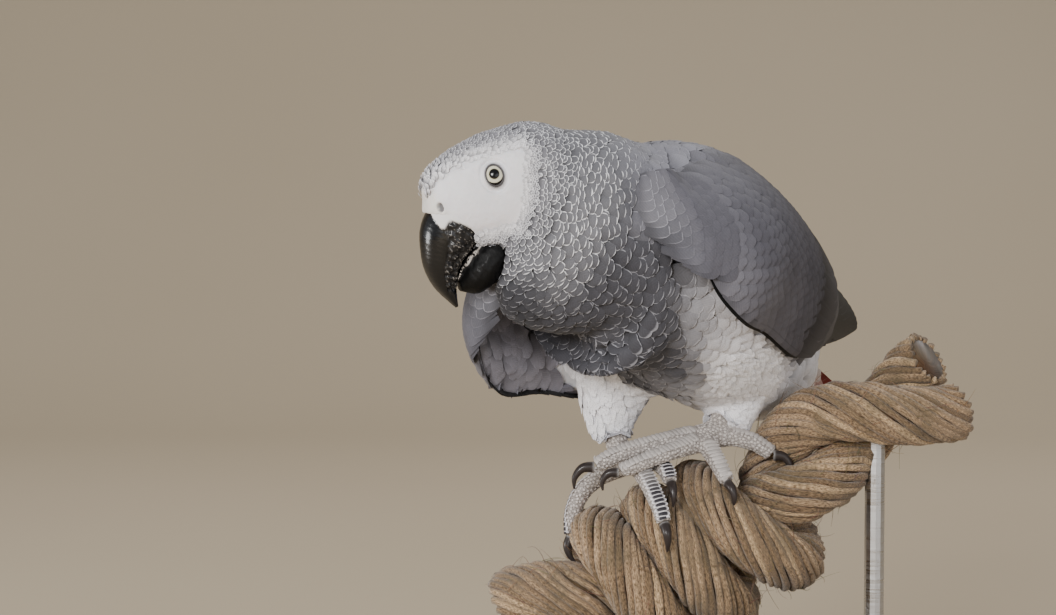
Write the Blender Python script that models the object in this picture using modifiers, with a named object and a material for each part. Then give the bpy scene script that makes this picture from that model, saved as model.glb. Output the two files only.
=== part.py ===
"""A life-size grey parrot leaning over a knotted rope perch on a display stand.

The bird's body faces -Y with its left side at +X, its head turns to its right,
and +Z is up. The origin is the centre of the stand's underside. Sizes are in
millimetres times MM, so that everything Blender sees is in metres.
"""

import math

import bmesh
import bpy
from mathutils import Matrix, Vector

MM = 0.001

# ---- driving dimensions --------------------------------------------------
CLEARANCE = 0.4 * MM  # left between neighbouring pieces

BODY_CENTRE = Vector((3, -1, 202)) * MM
BODY_PITCH = math.radians(24)
BODY_ROLL = math.radians(10)  # the right side is the lower one

HEAD_CENTRE = Vector((-41, -91, 241)) * MM  # midway between the eyes
HEAD_YAW = math.radians(-45)  # turned to the bird's right
HEAD_PITCH = math.radians(-16)
HEAD_ROLL = math.radians(0)

EYE_RADIUS = 5.6 * MM
EYE_OFFSET = Vector((12.9, 0, 0)) * MM

PERCH_YAW = math.radians(30)  # the rope runs across in front of the body
PERCH_HEIGHT = 86 * MM  # the rope's axis at the knot
PERCH_REACH = (-70 * MM, 100 * MM)
ROPE_RADIUS = 11.8 * MM
KNOT_TURNS = 2.2
KNOT_SHIFT = -2 * MM
TWIST_PITCH = 120 * MM

BASE_SIZE = Vector((190, 150, 16)) * MM
ROD_RADIUS = 4 * MM

FEATHER_GREY = (0.22, 0.22, 0.24)
HEAD_GREY = (0.42, 0.42, 0.43)
THIGH_WHITE = (0.62, 0.62, 0.64)
TAIL_RED = (0.45, 0.03, 0.02)
HORN_BLACK = (0.015, 0.015, 0.017)
FOOT_GREY = (0.38, 0.37, 0.36)
EYE_PALE = (0.75, 0.72, 0.55)
ROPE_TAN = (0.33, 0.21, 0.11)
STAND_BLACK = (0.03, 0.03, 0.03)
ROD_STEEL = (0.55, 0.55, 0.55)


def turned(origin, yaw, pitch, roll):
    """A frame that looks along its own -Y; roll lowers its right side."""
    return (
        Matrix.Translation(origin)
        @ Matrix.Rotation(yaw, 4, "Z")
        @ Matrix.Rotation(-pitch, 4, "X")
        @ Matrix.Rotation(-roll, 4, "Y")
    )


BODY = turned(BODY_CENTRE, 0, BODY_PITCH, BODY_ROLL)
HEAD = turned(HEAD_CENTRE, HEAD_YAW, HEAD_PITCH, HEAD_ROLL)
PERCH = Matrix.Translation((0, 0, PERCH_HEIGHT)) @ Matrix.Rotation(PERCH_YAW, 4, "Z")


# ---- tools ----------------------------------------------------------------
def material(name, colour, roughness=0.6, metallic=0.0):
    made = bpy.data.materials.new(name)
    made.use_nodes = True
    shader = made.node_tree.nodes["Principled BSDF"]
    shader.inputs["Base Color"].default_value = (*colour, 1)
    shader.inputs["Roughness"].default_value = roughness
    shader.inputs["Metallic"].default_value = metallic
    return made


def add(name, mesh, collection):
    made = bpy.data.objects.new(name, mesh)
    collection.objects.link(made)
    return made


def settled(obj):
    """The object as a plain mesh, with its modifiers applied and its doubles welded."""
    graph = bpy.context.evaluated_depsgraph_get()
    mesh = bpy.data.meshes.new_from_object(obj.evaluated_get(graph))
    mesh.transform(obj.matrix_world)
    name, collection = obj.name, obj.users_collection[0]
    bpy.data.objects.remove(obj)
    shape = bmesh.new()
    shape.from_mesh(mesh)
    bmesh.ops.remove_doubles(shape, verts=shape.verts, dist=0.02 * MM)
    bmesh.ops.triangulate(shape, faces=shape.faces)
    shape.to_mesh(mesh)
    shape.free()
    mesh.name = name
    return add(name, mesh, collection)


def smooth_row(rows, position):
    """The row at a fractional position, on a smooth curve through all the rows."""
    last = len(rows) - 1
    index = min(int(position), last - 1)
    t = position - index
    before, start = rows[max(index - 1, 0)], rows[index]
    end, after = rows[index + 1], rows[min(index + 2, last)]
    return [
        0.5
        * (
            2 * b
            + (c - a) * t
            + (2 * a - 5 * b + 4 * c - d) * t * t
            + (3 * b - a - 3 * c + d) * t**3
        )
        for a, b, c, d in zip(before, start, end, after)
    ]


def smooth_rows(rows, count):
    last = len(rows) - 1
    return [smooth_row(rows, last * i / (count - 1)) for i in range(count)]


def loft(name, rings, collection):
    """A closed skin over rings of points, each end closed by a fan."""
    shape = bmesh.new()
    loops = [[shape.verts.new(point) for point in ring] for ring in rings]
    size = len(rings[0])
    for first, second in zip(loops, loops[1:]):
        for i in range(size):
            j = (i + 1) % size
            shape.faces.new((first[i], first[j], second[j], second[i]))
    for ring in (loops[0], loops[-1]):
        middle = sum((vert.co for vert in ring), Vector()) / size
        hub = shape.verts.new(middle)
        for i in range(size):
            shape.faces.new((ring[(i + 1) % size], ring[i], hub))
    bmesh.ops.recalc_face_normals(shape, faces=shape.faces)
    mesh = bpy.data.meshes.new(name)
    shape.to_mesh(mesh)
    shape.free()
    return add(name, mesh, collection)


def egg_ring(y, middle, half_width, top, bottom, sides=20, squareness=2.2):
    """A cross-section in the XZ plane, with its own height above and below its middle."""
    ring = []
    for i in range(sides):
        angle = math.tau * i / sides
        across, up = math.cos(angle), math.sin(angle)
        x = math.copysign(abs(across) ** (2 / squareness), across) * half_width
        z = math.copysign(abs(up) ** (2 / squareness), up)
        z *= top if up > 0 else bottom
        ring.append(Vector((x, y, middle + z)) * MM)
    return ring


def egg_loft(name, frame, rows, count, collection, sides=20):
    """A loft whose rows are y, middle, half width, top and bottom, in millimetres."""
    rings = [egg_ring(*row, sides=sides) for row in smooth_rows(rows, count)]
    return loft(name, [[frame @ point for point in ring] for ring in rings], collection)


def turning_loft(name, rows, count, collection, sides=24):
    """Ellipses that turn from the body's frame to the head's as their first value grows."""
    first, last = BODY.to_quaternion(), HEAD.to_quaternion()
    flat = [(share, *centre, width, height) for share, centre, width, height in rows]
    rings = []
    for share, x, y, z, width, height in smooth_rows(flat, count):
        facing = first.slerp(last, min(max(share, 0), 1)).to_matrix()
        ring = []
        for i in range(sides):
            angle = math.tau * i / sides
            spoke = Vector((math.cos(angle) * width, 0, math.sin(angle) * height)) * MM
            ring.append(Vector((x, y, z)) + facing @ spoke)
        rings.append(ring)
    return loft(name, rings, collection)


def tube(name, rows, collection, count=None, sides=2):
    """A round tube through rows of x, y, z and radius in metres, as a filled curve."""
    rows = smooth_rows(rows, count) if count else rows
    curve = bpy.data.curves.new(name, "CURVE")
    curve.dimensions = "3D"
    curve.bevel_depth = 1
    curve.bevel_resolution = sides
    curve.use_fill_caps = True
    spline = curve.splines.new("POLY")
    spline.points.add(len(rows) - 1)
    for point, (x, y, z, radius) in zip(spline.points, rows):
        point.co = (x, y, z, 1)
        point.radius = radius
    return settled(add(name, curve, collection))


def placed_rows(frame, rows):
    """Rows of x, y, z and radius in millimetres in a frame, turned to world metres."""
    return [[*(frame @ (Vector(row[:3]) * MM)), row[3] * MM] for row in rows]


def with_modifier(obj, kind, **settings):
    modifier = obj.modifiers.new(kind.title(), kind)
    for key, value in settings.items():
        setattr(modifier, key, value)
    return obj


def fused(name, pieces, collection, voxel, smoothing, triangles):
    """Pieces melted into one smooth solid of about so many triangles."""
    joined = bmesh.new()
    for piece in pieces:
        joined.from_mesh(piece.data)
        bpy.data.objects.remove(piece)
    mesh = bpy.data.meshes.new(name)
    joined.to_mesh(mesh)
    joined.free()
    whole = add(name, mesh, collection)
    with_modifier(whole, "REMESH", mode="VOXEL", voxel_size=voxel)
    with_modifier(whole, "SMOOTH", factor=0.5, iterations=smoothing)
    whole = settled(whole)
    share = triangles / len(whole.data.polygons)
    with_modifier(whole, "DECIMATE", ratio=min(1.0, share))
    return settled(whole)


def swollen_copy(obj, distance, collection):
    """A cutter: the object with its whole surface moved outwards by a distance."""
    mesh = obj.data.copy()
    normals = [vert.normal.copy() for vert in mesh.vertices]
    for vert, normal in zip(mesh.vertices, normals):
        vert.co += normal * distance
    cutter = add(obj.name + "_cutter", mesh, collection)
    cutter.hide_render = True
    cutter.display_type = "WIRE"
    return cutter


def cut_clear(obj, neighbours, cutters, distance=CLEARANCE):
    """The object with room cut in it for its neighbours."""
    for neighbour in neighbours:
        cutter = swollen_copy(neighbour, distance, cutters)
        with_modifier(obj, "BOOLEAN", operation="DIFFERENCE", object=cutter)
        obj = settled(obj)
        bpy.data.objects.remove(cutter)
    return largest_body(obj)


def reach(verts):
    """The diagonal of the box round some vertices."""
    spans = [[vert.co[axis] for vert in verts] for axis in range(3)]
    return math.hypot(*(max(span) - min(span) for span in spans))


def largest_body(obj):
    """The object without the small loose bits that a cut can leave."""
    shape = bmesh.new()
    shape.from_mesh(obj.data)
    left, bodies = set(shape.verts), []
    while left:
        body, edge = set(), [left.pop()]
        while edge:
            vert = edge.pop()
            body.add(vert)
            near = {e.other_vert(vert) for e in vert.link_edges} & left
            left -= near
            edge.extend(near)
        bodies.append(body)
    keep = max(bodies, key=reach)
    bmesh.ops.delete(
        shape, geom=[v for v in shape.verts if v not in keep], context="VERTS"
    )
    shape.to_mesh(obj.data)
    shape.free()
    return obj


def half_of(obj, name, point, normal, collection):
    """The part of a closed solid on the side of a plane that the normal points to."""
    shape = bmesh.new()
    shape.from_mesh(obj.data)
    bmesh.ops.bisect_plane(
        shape,
        geom=[*shape.verts, *shape.edges, *shape.faces],
        plane_co=point,
        plane_no=normal,
        clear_inner=True,
    )
    open_edges = [edge for edge in shape.edges if edge.is_boundary]
    filled = bmesh.ops.contextual_create(shape, geom=open_edges)["faces"]
    bmesh.ops.triangulate(shape, faces=filled)
    bmesh.ops.recalc_face_normals(shape, faces=shape.faces)
    mesh = bpy.data.meshes.new(name)
    shape.to_mesh(mesh)
    shape.free()
    return add(name, mesh, collection)


def finish(obj, surface):
    obj.data.materials.clear()
    obj.data.materials.append(surface)
    obj.data.shade_smooth()
    obj.data.set_sharp_from_angle(angle=math.radians(40))


# ---- the bird ---------------------------------------------------------------
def make_flesh(parts):
    """Trunk, neck and head melted together."""
    trunk = egg_loft(
        "trunk_form",
        BODY,
        [
            (-68, 0, 24, 22, 26),
            (-58, 0, 36, 31, 38),
            (-38, 0, 44, 38, 48),
            (-8, 0, 46, 41, 52),
            (24, 0, 40, 40, 50),
            (52, -2, 31, 32, 43),
            (76, -8, 22, 22, 30),
            (92, -12, 14, 13, 17),
        ],
        26,
        parts,
        sides=24,
    )
    neck = turning_loft(
        "neck_form",
        [
            (0.0, BODY @ (Vector((-4, -20, -2)) * MM), 43, 40),
            (0.3, BODY @ (Vector((-19, -47, -11)) * MM), 47, 47),
            (0.7, HEAD @ (Vector((1, 37, -33)) * MM), 37, 39),
            (1.0, HEAD @ (Vector((0, 15, -29)) * MM), 28, 39),
            (1.2, HEAD @ (Vector((0, 0, -39)) * MM), 18, 22),
            (1.35, HEAD @ (Vector((0, -9, -43)) * MM), 10, 9),
        ],
        12,
        parts,
    )
    head = egg_loft(
        "head_form",
        HEAD,
        [
            (34, -3, 12, 10, 12),
            (29, -3, 18, 15, 18),
            (20, -3, 21.5, 19, 26),
            (10, -3, 20, 19.4, 28),
            (1, -3, 17.8, 19.2, 28),
            (-7, -4, 16.6, 18.8, 26),
            (-14, -5, 14.6, 17.8, 20),
            (-20, -5, 12, 15.4, 13),
            (-24.5, -5, 9.2, 12, 8),
            (-27, -5, 5.6, 7.4, 5),
        ],
        26,
        parts,
        sides=24,
    )
    return fused("flesh", [trunk, neck, head], parts, 1.8 * MM, 6, 1180)


def bill_rings(upper_edge, lower_edge, half_widths, count, squareness):
    """Rings between two edges in the head's middle plane, given as y and z."""
    rows = [
        (*top, *bottom, width)
        for top, bottom, width in zip(upper_edge, lower_edge, half_widths)
    ]
    rings = []
    for y1, z1, y2, z2, half_width in smooth_rows(rows, count):
        top, bottom = Vector((0, y1, z1)), Vector((0, y2, z2))
        middle, reach = (top + bottom) / 2, (top - bottom) / 2
        ring = []
        for i in range(14):
            angle = math.tau * i / 14
            across, along = math.sin(angle), math.cos(angle)
            x = math.copysign(abs(across) ** (2 / squareness), across) * half_width
            ring.append(HEAD @ ((middle + reach * along + Vector((x, 0, 0))) * MM))
        rings.append(ring)
    return rings


def make_bill(parts):
    """The hooked upper mandible and the scoop of the lower one."""
    upper = bill_rings(
        [(-16, -3), (-24.6, -6), (-29.6, -12.2), (-31.8, -20), (-32.4, -27.5), (-30.4, -35.6), (-24.8, -44.6)],
        [(-4, -15), (-8, -21.5), (-13.5, -25.4), (-17.9, -28.6), (-20.8, -32.4), (-22.8, -37.6), (-23.9, -44.3)],
        [9.4, 11.2, 10.4, 8.8, 7.2, 4.8, 0.8],
        13,
        2.5,
    )
    lower = bill_rings(
        [(1, -22.5), (-6, -21.6), (-12.4, -25.6), (-16.9, -29.4), (-20.4, -34.4)],
        [(2, -32), (-3, -36), (-9.5, -40.2), (-15.5, -41.6), (-21, -39)],
        [7.4, 10.2, 10.6, 8.6, 3.8],
        10,
        2.5,
    )
    return loft("bill_upper", upper, parts), loft("bill_lower", lower, parts)


def make_eye(name, side, parts):
    bpy.ops.mesh.primitive_uv_sphere_add(segments=12, ring_count=8, radius=EYE_RADIUS)
    eye = bpy.context.object
    eye.name = name
    offset = Vector((EYE_OFFSET.x * side, EYE_OFFSET.y, EYE_OFFSET.z))
    eye.matrix_world = HEAD @ Matrix.Translation(offset)
    for collection in list(eye.users_collection):
        collection.objects.unlink(eye)
    parts.objects.link(eye)
    bpy.context.view_layer.update()
    return settled(eye)


def wing_ring(row, frame, side):
    """A curved blade section: a bowed outside and a thinner bowed inside."""
    y, out, middle, half_chord, bow, thickness = row
    steps = 9
    outer, inner = [], []
    for i in range(steps):
        along = -1 + 2 * i / (steps - 1)
        z = middle + half_chord * along
        x = out + bow * (1 - along * along) - WING_LEAN * along
        outer.append(Vector((side * x, y, z)) * MM)
        if 0 < i < steps - 1:
            depth = thickness * (1 - along**4)
            inner.append(Vector((side * (x - depth), y, z)) * MM)
    return [frame @ point for point in outer + inner[::-1]]


WING_LEAN = 7
WING_ROWS = [
    (-64, 22, -8, 10, 6, 6),
    (-57, 26, -9, 24, 11, 12),
    (-40, 30, -9, 33, 17, 18),
    (-15, 29, -4.5, 37, 21, 20),
    (20, 27, -6.5, 37, 21, 19),
    (55, 22, -7.5, 29, 18, 14),
    (90, 16, -4.5, 21, 13, 9),
    (122, 11, -1, 15, 9, 5),
    (146, 8, 1, 9, 5, 3),
    (160, 6, 1, 4, 2, 1.6),
]


def make_wing(name, side, frame, parts):
    rings = [wing_ring(row, frame, side) for row in smooth_rows(WING_ROWS, 16)]
    return loft(name, rings, parts)


def make_tail(parts):
    """The tail feathers as one gently roofed fan."""
    rings = []
    for row in smooth_rows(
        [
            (64, -6, 10, 8),
            (88, -8, 15, 5),
            (122, -11, 19, 3.6),
            (150, -14, 22, 2.8),
            (159, -15, 19, 2.2),
            (163, -15.5, 11, 1.4),
        ],
        12,
    ):
        y, z, half_width, thickness = row
        ring = []
        for i in range(16):
            angle = math.tau * i / 16
            x = math.cos(angle) * half_width
            roof = -5 * (x / 22) ** 2
            ring.append(Vector((x, y, z + roof + math.sin(angle) * thickness)) * MM)
        rings.append([BODY @ point for point in ring])
    return loft("tail", rings, parts)


THIGH_ROWS = {
    "left": [
        (15, 6, 112, 26),
        (22, 6, 92, 21),
        (21, 5, 74, 14.5),
        (16, 3, 58, 10.5),
        (13, 1, 50, 8.0),
    ],
    "right": [
        (-25, 6, 106, 26),
        (-30, 6, 86, 23.5),
        (-31, 6, 69, 17.5),
        (-32, 6, 56, 10.8),
        (-32, 6, 47, 7.4),
    ],
}

# Toe rows are x along the rope, y towards the bird's back, z up from the rope's
# axis, and the radius. Each toe is followed by its claw.
FOOT_ROWS = {
    "left": {
        "tarsus": [(14, 0, 60, 4.6), (11, -2, 53, 4.8), (6, -5, 50, 5.2)],
        "toes": [
            [(8, -4, 50.5, 5), (-3, -9, 49.5, 4.2), (-17, -14, 47.2, 3.7), (-30, -16, 43.5, 3.6), (-38, -17, 39.5, 3.1)],
            [(6, -6, 49, 4.6), (-2, -14, 46.8, 3.8), (-12, -20, 44.2, 3.3), (-22, -22.5, 40.8, 3.2), (-28.5, -23, 38, 2.8)],
            [(7, -4, 49.5, 4.8), (16, -4, 49.6, 4.0), (25, -5, 47.5, 3.6), (32, -6, 43, 3.2)],
            [(7, -6, 48.5, 4.6), (7, -14, 45.5, 3.8), (10, -21, 40.5, 3.4), (13, -26, 34.5, 3.0)],
        ],
        "claws": [
            [(-39, -17.1, 39, 2.3), (-43.5, -17.6, 38.6, 1.9), (-46.5, -18, 35, 1.25), (-46.8, -18, 30.5, 0.4)],
            [(-29.5, -23, 37.6, 2.0), (-33.4, -23.2, 37.2, 1.7), (-35.8, -23.4, 34.2, 1.1), (-35.6, -23.4, 30.6, 0.4)],
            [(33, -6.2, 42.4, 2.3), (36.8, -6.8, 41.8, 1.9), (39.2, -7.4, 38.6, 1.25), (39, -8, 34.8, 0.4)],
            [(13.3, -26.8, 33.6, 2.0), (14.6, -29.6, 32.2, 1.7), (15.6, -30.6, 28.6, 1.1), (15.4, -29.4, 25, 0.4)],
        ],
    },
    "right": {
        "tarsus": [(-32, 6, 56, 4.4), (-30, 3, 48, 4.6), (-26, -1, 38.5, 5.0)],
        "toes": [
            [(-26, 0, 38, 4.8), (-22, -12, 38.6, 3.9), (-18, -22, 34, 3.7), (-14, -30.5, 26, 3.5), (-12, -34.5, 19.5, 3.1)],
            [(-24, -1, 38.5, 4.6), (-16, -9, 40.4, 3.6), (-11, -17, 38.4, 3.4), (-9, -23.5, 34, 3.0)],
            [(-27, 1, 37.5, 4.8), (-36, 3, 33, 3.9), (-43.5, 4, 26, 3.7), (-47, 4, 17, 3.4), (-47.5, 3, 9, 3.0)],
            [(-25, 1, 38, 4.6), (-21, 11, 37.6, 3.8), (-18, 19, 34.4, 3.5), (-16, 26, 29, 3.1)],
        ],
        "claws": [
            [(-11.8, -35, 18.6, 2.2), (-11, -37.6, 15.6, 1.85), (-10.6, -37.4, 11.6, 1.2), (-10.8, -35.6, 8.2, 0.4)],
            [(-8.8, -24.2, 33.2, 2.0), (-8.2, -27.4, 31.6, 1.7), (-8, -28.8, 28.2, 1.1), (-8.2, -28.2, 24.8, 0.4)],
            [(-47.6, 2.9, 8.2, 2.2), (-49, 2.4, 4.6, 1.85), (-48.2, 1.6, 0.8, 1.2), (-45.8, 0.8, -2, 0.4)],
            [(-15.8, 26.8, 28.2, 2.1), (-15, 30, 26.6, 1.8), (-14.4, 31.8, 23, 1.15), (-14.4, 31.4, 19.4, 0.4)],
        ],
    },
}


def make_foot(side, parts):
    """Tarsus and four toes in one solid, two toes forward and two back."""
    rows = FOOT_ROWS[side]
    pieces = [
        tube(
            f"toe_form_{i}",
            placed_rows(PERCH, toe),
            parts,
            count=3 * len(toe) - 2,
            sides=4,
        )
        for i, toe in enumerate([rows["tarsus"], *rows["toes"]])
    ]
    foot = fused(f"foot_{side}", pieces, parts, 0.8 * MM, 2, 520)
    claws = [
        tube(f"claw_{side}_{i + 1}", placed_rows(PERCH, claw), parts, count=6)
        for i, claw in enumerate(rows["claws"])
    ]
    return foot, claws


# ---- perch and stand ----------------------------------------------------------
def eased(share):
    share = min(max(share, 0), 1)
    return share * share * (3 - 2 * share)


def rope_axis(x):
    """The shared centre line of the two ropes, at x along the perch."""
    climb = 20 * MM * eased((x - 12 * MM) / (46 * MM))
    return Vector((x, 0, 0.5 * x + climb + max(-x, 0) * 1.5 * -x))


def make_perch(parts):
    """Two ropes laid round each other, one winding round the other in a knot."""
    start, end = PERCH_REACH
    pitch = 2 * ROPE_RADIUS + 1.6 * CLEARANCE
    knot = (KNOT_SHIFT - pitch * KNOT_TURNS / 2, KNOT_SHIFT + pitch * KNOT_TURNS / 2)
    apart = 2 * ROPE_RADIUS + CLEARANCE
    steps = 400
    core, winding = [], []
    angle = math.radians(-30)
    turned_by = travelled = math.inf
    for i in range(steps + 1):
        x = start + (end - start) * i / steps
        outside = max(knot[0] - x, x - knot[1], 0)
        loose = eased(outside / (14 * MM))
        ahead, behind = rope_axis(x + MM), rope_axis(x - MM)
        slope = (ahead.z - behind.z) / (2 * MM)
        upright = Vector((-slope, 0, 1)).normalized()
        spoke = Vector((0, 1, 0)) * math.sin(angle) - upright * math.cos(angle)
        middle = rope_axis(x) - spoke * apart * loose / 2
        if travelled > 11 * MM or i == steps:
            core.append([*(PERCH @ middle), ROPE_RADIUS])
            travelled = 0
        if turned_by > math.radians(29) or i == steps:
            winding.append([*(PERCH @ (middle + spoke * apart)), ROPE_RADIUS])
            turned_by = 0
        step = (end - start) / steps * math.sqrt(1 + slope * slope)
        turn = math.tau * step / (pitch + (TWIST_PITCH - pitch) * loose)
        angle += turn
        turned_by += turn
        travelled += step
    core = tube("perch_core", core, parts, sides=2)
    return core, tube("perch_knot", winding, parts, sides=2)


def make_stand(perch, parts, cutters):
    """A plate with bevelled edges and two rods that are coped to the rope."""
    bpy.ops.mesh.primitive_cube_add(size=1, location=(0, 0, BASE_SIZE.z / 2))
    base = bpy.context.object
    base.name = "stand_base"
    base.scale = BASE_SIZE
    for collection in list(base.users_collection):
        collection.objects.unlink(base)
    parts.objects.link(base)
    bpy.context.view_layer.update()
    base = settled(base)
    with_modifier(
        base,
        "BEVEL",
        width=2.5 * MM,
        segments=2,
        limit_method="ANGLE",
        angle_limit=math.radians(60),
    )
    rods = []
    for index, x in enumerate((-58 * MM, 74 * MM)):
        foot = PERCH @ Vector((x, 0, 0))
        top = PERCH @ rope_axis(x)
        height = top.z - BASE_SIZE.z - CLEARANCE
        middle = (foot.x, foot.y, BASE_SIZE.z + CLEARANCE + height / 2)
        bpy.ops.mesh.primitive_cylinder_add(
            vertices=12, radius=ROD_RADIUS, depth=height, location=middle
        )
        rod = bpy.context.object
        rod.name = f"stand_rod_{index + 1}"
        for collection in list(rod.users_collection):
            collection.objects.unlink(rod)
        parts.objects.link(rod)
        bpy.context.view_layer.update()
        rods.append(cut_clear(settled(rod), perch, cutters))
    return base, rods


def main():
    for obj in list(bpy.data.objects):
        bpy.data.objects.remove(obj)
    parts = bpy.data.collections.new("grey_parrot")
    cutters = bpy.data.collections.new("cutters")
    for collection in (parts, cutters):
        bpy.context.scene.collection.children.link(collection)
    cutters.hide_render = True

    flesh = make_flesh(parts)
    bill_upper, bill_lower = make_bill(parts)
    bill_lower = cut_clear(settled(bill_lower), [bill_upper], cutters)
    eyes = [make_eye("eye_left", 1, parts), make_eye("eye_right", -1, parts)]
    flesh = cut_clear(flesh, [bill_upper, bill_lower, *eyes], cutters)

    wing_left_frame = BODY @ turned(
        Vector((3, -14, 4)) * MM, math.radians(3), math.radians(-10), 0
    )
    wing_right_frame = BODY @ turned(
        Vector((-27, -14, -4)) * MM, math.radians(-9), math.radians(-18), 0
    )
    wing_left = settled(make_wing("wing_left", 1, wing_left_frame, parts))
    wing_right = settled(make_wing("wing_right", -1, wing_right_frame, parts))
    wing_left = cut_clear(wing_left, [flesh], cutters)
    wing_right = cut_clear(wing_right, [flesh, wing_left], cutters)
    wings = [wing_left, wing_right]
    tail = cut_clear(settled(make_tail(parts)), [flesh, *wings], cutters)

    perch_core, perch_knot = make_perch(parts)
    perch = [perch_core, cut_clear(perch_knot, [perch_core], cutters)]
    base, rods = make_stand(perch, parts, cutters)

    feet, claws, thighs = [], [], []
    for side in ("right", "left"):
        foot, foot_claws = make_foot(side, parts)
        foot = cut_clear(foot, [flesh, *perch, *feet, *claws], cutters)
        claws += [cut_clear(claw, [foot, *perch, *feet], cutters) for claw in foot_claws]
        feet.append(foot)
        thigh = tube(
            f"thigh_{side}",
            placed_rows(PERCH, THIGH_ROWS[side]),
            parts,
            count=8,
            sides=4,
        )
        thighs.append(cut_clear(thigh, [flesh, foot, *wings, *thighs], cutters))

    neck_point = BODY @ (Vector((-6, -52, 6)) * MM)
    neck_normal = (HEAD_CENTRE - BODY_CENTRE).normalized()
    head_point = HEAD @ (Vector((2, 21, -8)) * MM)
    head_normal = (HEAD.to_3x3() @ Vector((0, -1, 0.7))).normalized()
    gap = CLEARANCE / 2
    front = half_of(flesh, "front", neck_point + neck_normal * gap, neck_normal, parts)
    trunk = half_of(
        flesh, "trunk", neck_point - neck_normal * gap, -neck_normal, parts
    )
    head = half_of(front, "head", head_point + head_normal * gap, head_normal, parts)
    neck = half_of(front, "neck", head_point - head_normal * gap, -head_normal, parts)
    for spent in (flesh, front):
        bpy.data.objects.remove(spent)

    looks = {
        ("feather_grey", FEATHER_GREY, 0.7, 0.0): [trunk, *wings],
        ("head_grey", HEAD_GREY, 0.7, 0.0): [head, neck],
        ("thigh_white", THIGH_WHITE, 0.8, 0.0): thighs,
        ("tail_red", TAIL_RED, 0.6, 0.0): [tail],
        ("horn_black", HORN_BLACK, 0.25, 0.0): [bill_upper, bill_lower, *claws],
        ("foot_grey", FOOT_GREY, 0.6, 0.0): feet,
        ("eye_pale", EYE_PALE, 0.05, 0.0): eyes,
        ("rope_tan", ROPE_TAN, 0.9, 0.0): perch,
        ("stand_black", STAND_BLACK, 0.4, 0.0): [base],
        ("rod_steel", ROD_STEEL, 0.3, 1.0): rods,
    }
    for (name, colour, roughness, metallic), pieces in looks.items():
        surface = material(name, colour, roughness, metallic)
        for piece in pieces:
            finish(piece, surface)


main()
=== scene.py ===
import heapq
import itertools
import math
from collections import defaultdict, namedtuple
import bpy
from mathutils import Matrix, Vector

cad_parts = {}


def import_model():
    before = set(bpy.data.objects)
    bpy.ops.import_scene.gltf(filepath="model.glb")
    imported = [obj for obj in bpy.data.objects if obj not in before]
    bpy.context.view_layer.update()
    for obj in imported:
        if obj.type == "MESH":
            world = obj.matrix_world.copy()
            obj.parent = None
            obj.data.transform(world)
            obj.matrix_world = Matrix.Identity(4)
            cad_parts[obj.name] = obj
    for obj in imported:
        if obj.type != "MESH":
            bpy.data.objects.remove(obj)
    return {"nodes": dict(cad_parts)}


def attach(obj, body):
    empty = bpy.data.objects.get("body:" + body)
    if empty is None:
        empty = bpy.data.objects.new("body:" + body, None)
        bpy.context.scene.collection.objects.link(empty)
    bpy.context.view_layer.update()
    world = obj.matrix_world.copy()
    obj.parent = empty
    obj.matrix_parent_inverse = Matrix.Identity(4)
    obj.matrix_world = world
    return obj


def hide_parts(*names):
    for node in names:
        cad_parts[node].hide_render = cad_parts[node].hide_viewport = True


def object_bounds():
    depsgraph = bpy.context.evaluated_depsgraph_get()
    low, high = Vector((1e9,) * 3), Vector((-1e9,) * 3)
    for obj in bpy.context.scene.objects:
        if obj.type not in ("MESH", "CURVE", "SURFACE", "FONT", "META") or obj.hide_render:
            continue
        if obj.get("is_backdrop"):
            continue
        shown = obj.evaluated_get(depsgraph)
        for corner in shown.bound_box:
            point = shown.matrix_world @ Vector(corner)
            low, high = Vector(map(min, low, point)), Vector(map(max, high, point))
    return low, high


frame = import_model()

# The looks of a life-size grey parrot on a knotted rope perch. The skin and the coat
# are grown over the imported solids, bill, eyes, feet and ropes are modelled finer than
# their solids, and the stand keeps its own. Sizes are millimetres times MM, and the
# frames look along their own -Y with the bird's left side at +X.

from types import SimpleNamespace

import bmesh
import bpy
import numpy as np
from mathutils import Matrix, Vector, noise
from mathutils.bvhtree import BVHTree

MM = 0.001
CAD_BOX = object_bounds()
RANDOM = np.random.default_rng(7)

# ---- frames and driving sizes ----
BODY_CENTRE = Vector((3, -1, 202)) * MM
HEAD_CENTRE = Vector((-41, -91, 241)) * MM
PERCH_HEIGHT = 86 * MM
ROPE_RADIUS = 11.8 * MM
CLEARANCE = 0.4 * MM
PERCH_REACH = (-70 * MM, 100 * MM)
KNOT_TURNS = 2.2
KNOT_SHIFT = -2 * MM
TWIST_PITCH = 120 * MM
EYE_RADIUS = 5.6
EYE_SET = 12.9  # from the head's middle plane to the eye's centre


def turned(origin, yaw, pitch, roll):
    """A frame that looks along its own -Y; roll lowers its right side. Angles in degrees."""
    return (
        Matrix.Translation(origin)
        @ Matrix.Rotation(math.radians(yaw), 4, "Z")
        @ Matrix.Rotation(-math.radians(pitch), 4, "X")
        @ Matrix.Rotation(-math.radians(roll), 4, "Y")
    )


BODY = turned(BODY_CENTRE, 0, 24, 10)
HEAD = turned(HEAD_CENTRE, -45, -16, 0)
PERCH = turned(Vector((0, 0, PERCH_HEIGHT)), 30, 0, 0)
WING_FRAMES = {
    "left": BODY @ turned(Vector((3, -14, 4)) * MM, 3, -10, 0),
    "right": BODY @ turned(Vector((-27, -14, -4)) * MM, -9, -18, 0),
}
SIDES = {"left": 1, "right": -1}


# ---- numbers in arrays ----
def local(place, points):
    """World points as millimetres in a frame."""
    inverse = np.array(place.inverted())
    return (points @ inverse[:3, :3].T + inverse[:3, 3]) / MM


def world(place, points):
    """Millimetres in a frame as world points."""
    matrix = np.array(place)
    return (points * MM) @ matrix[:3, :3].T + matrix[:3, 3]


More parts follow.
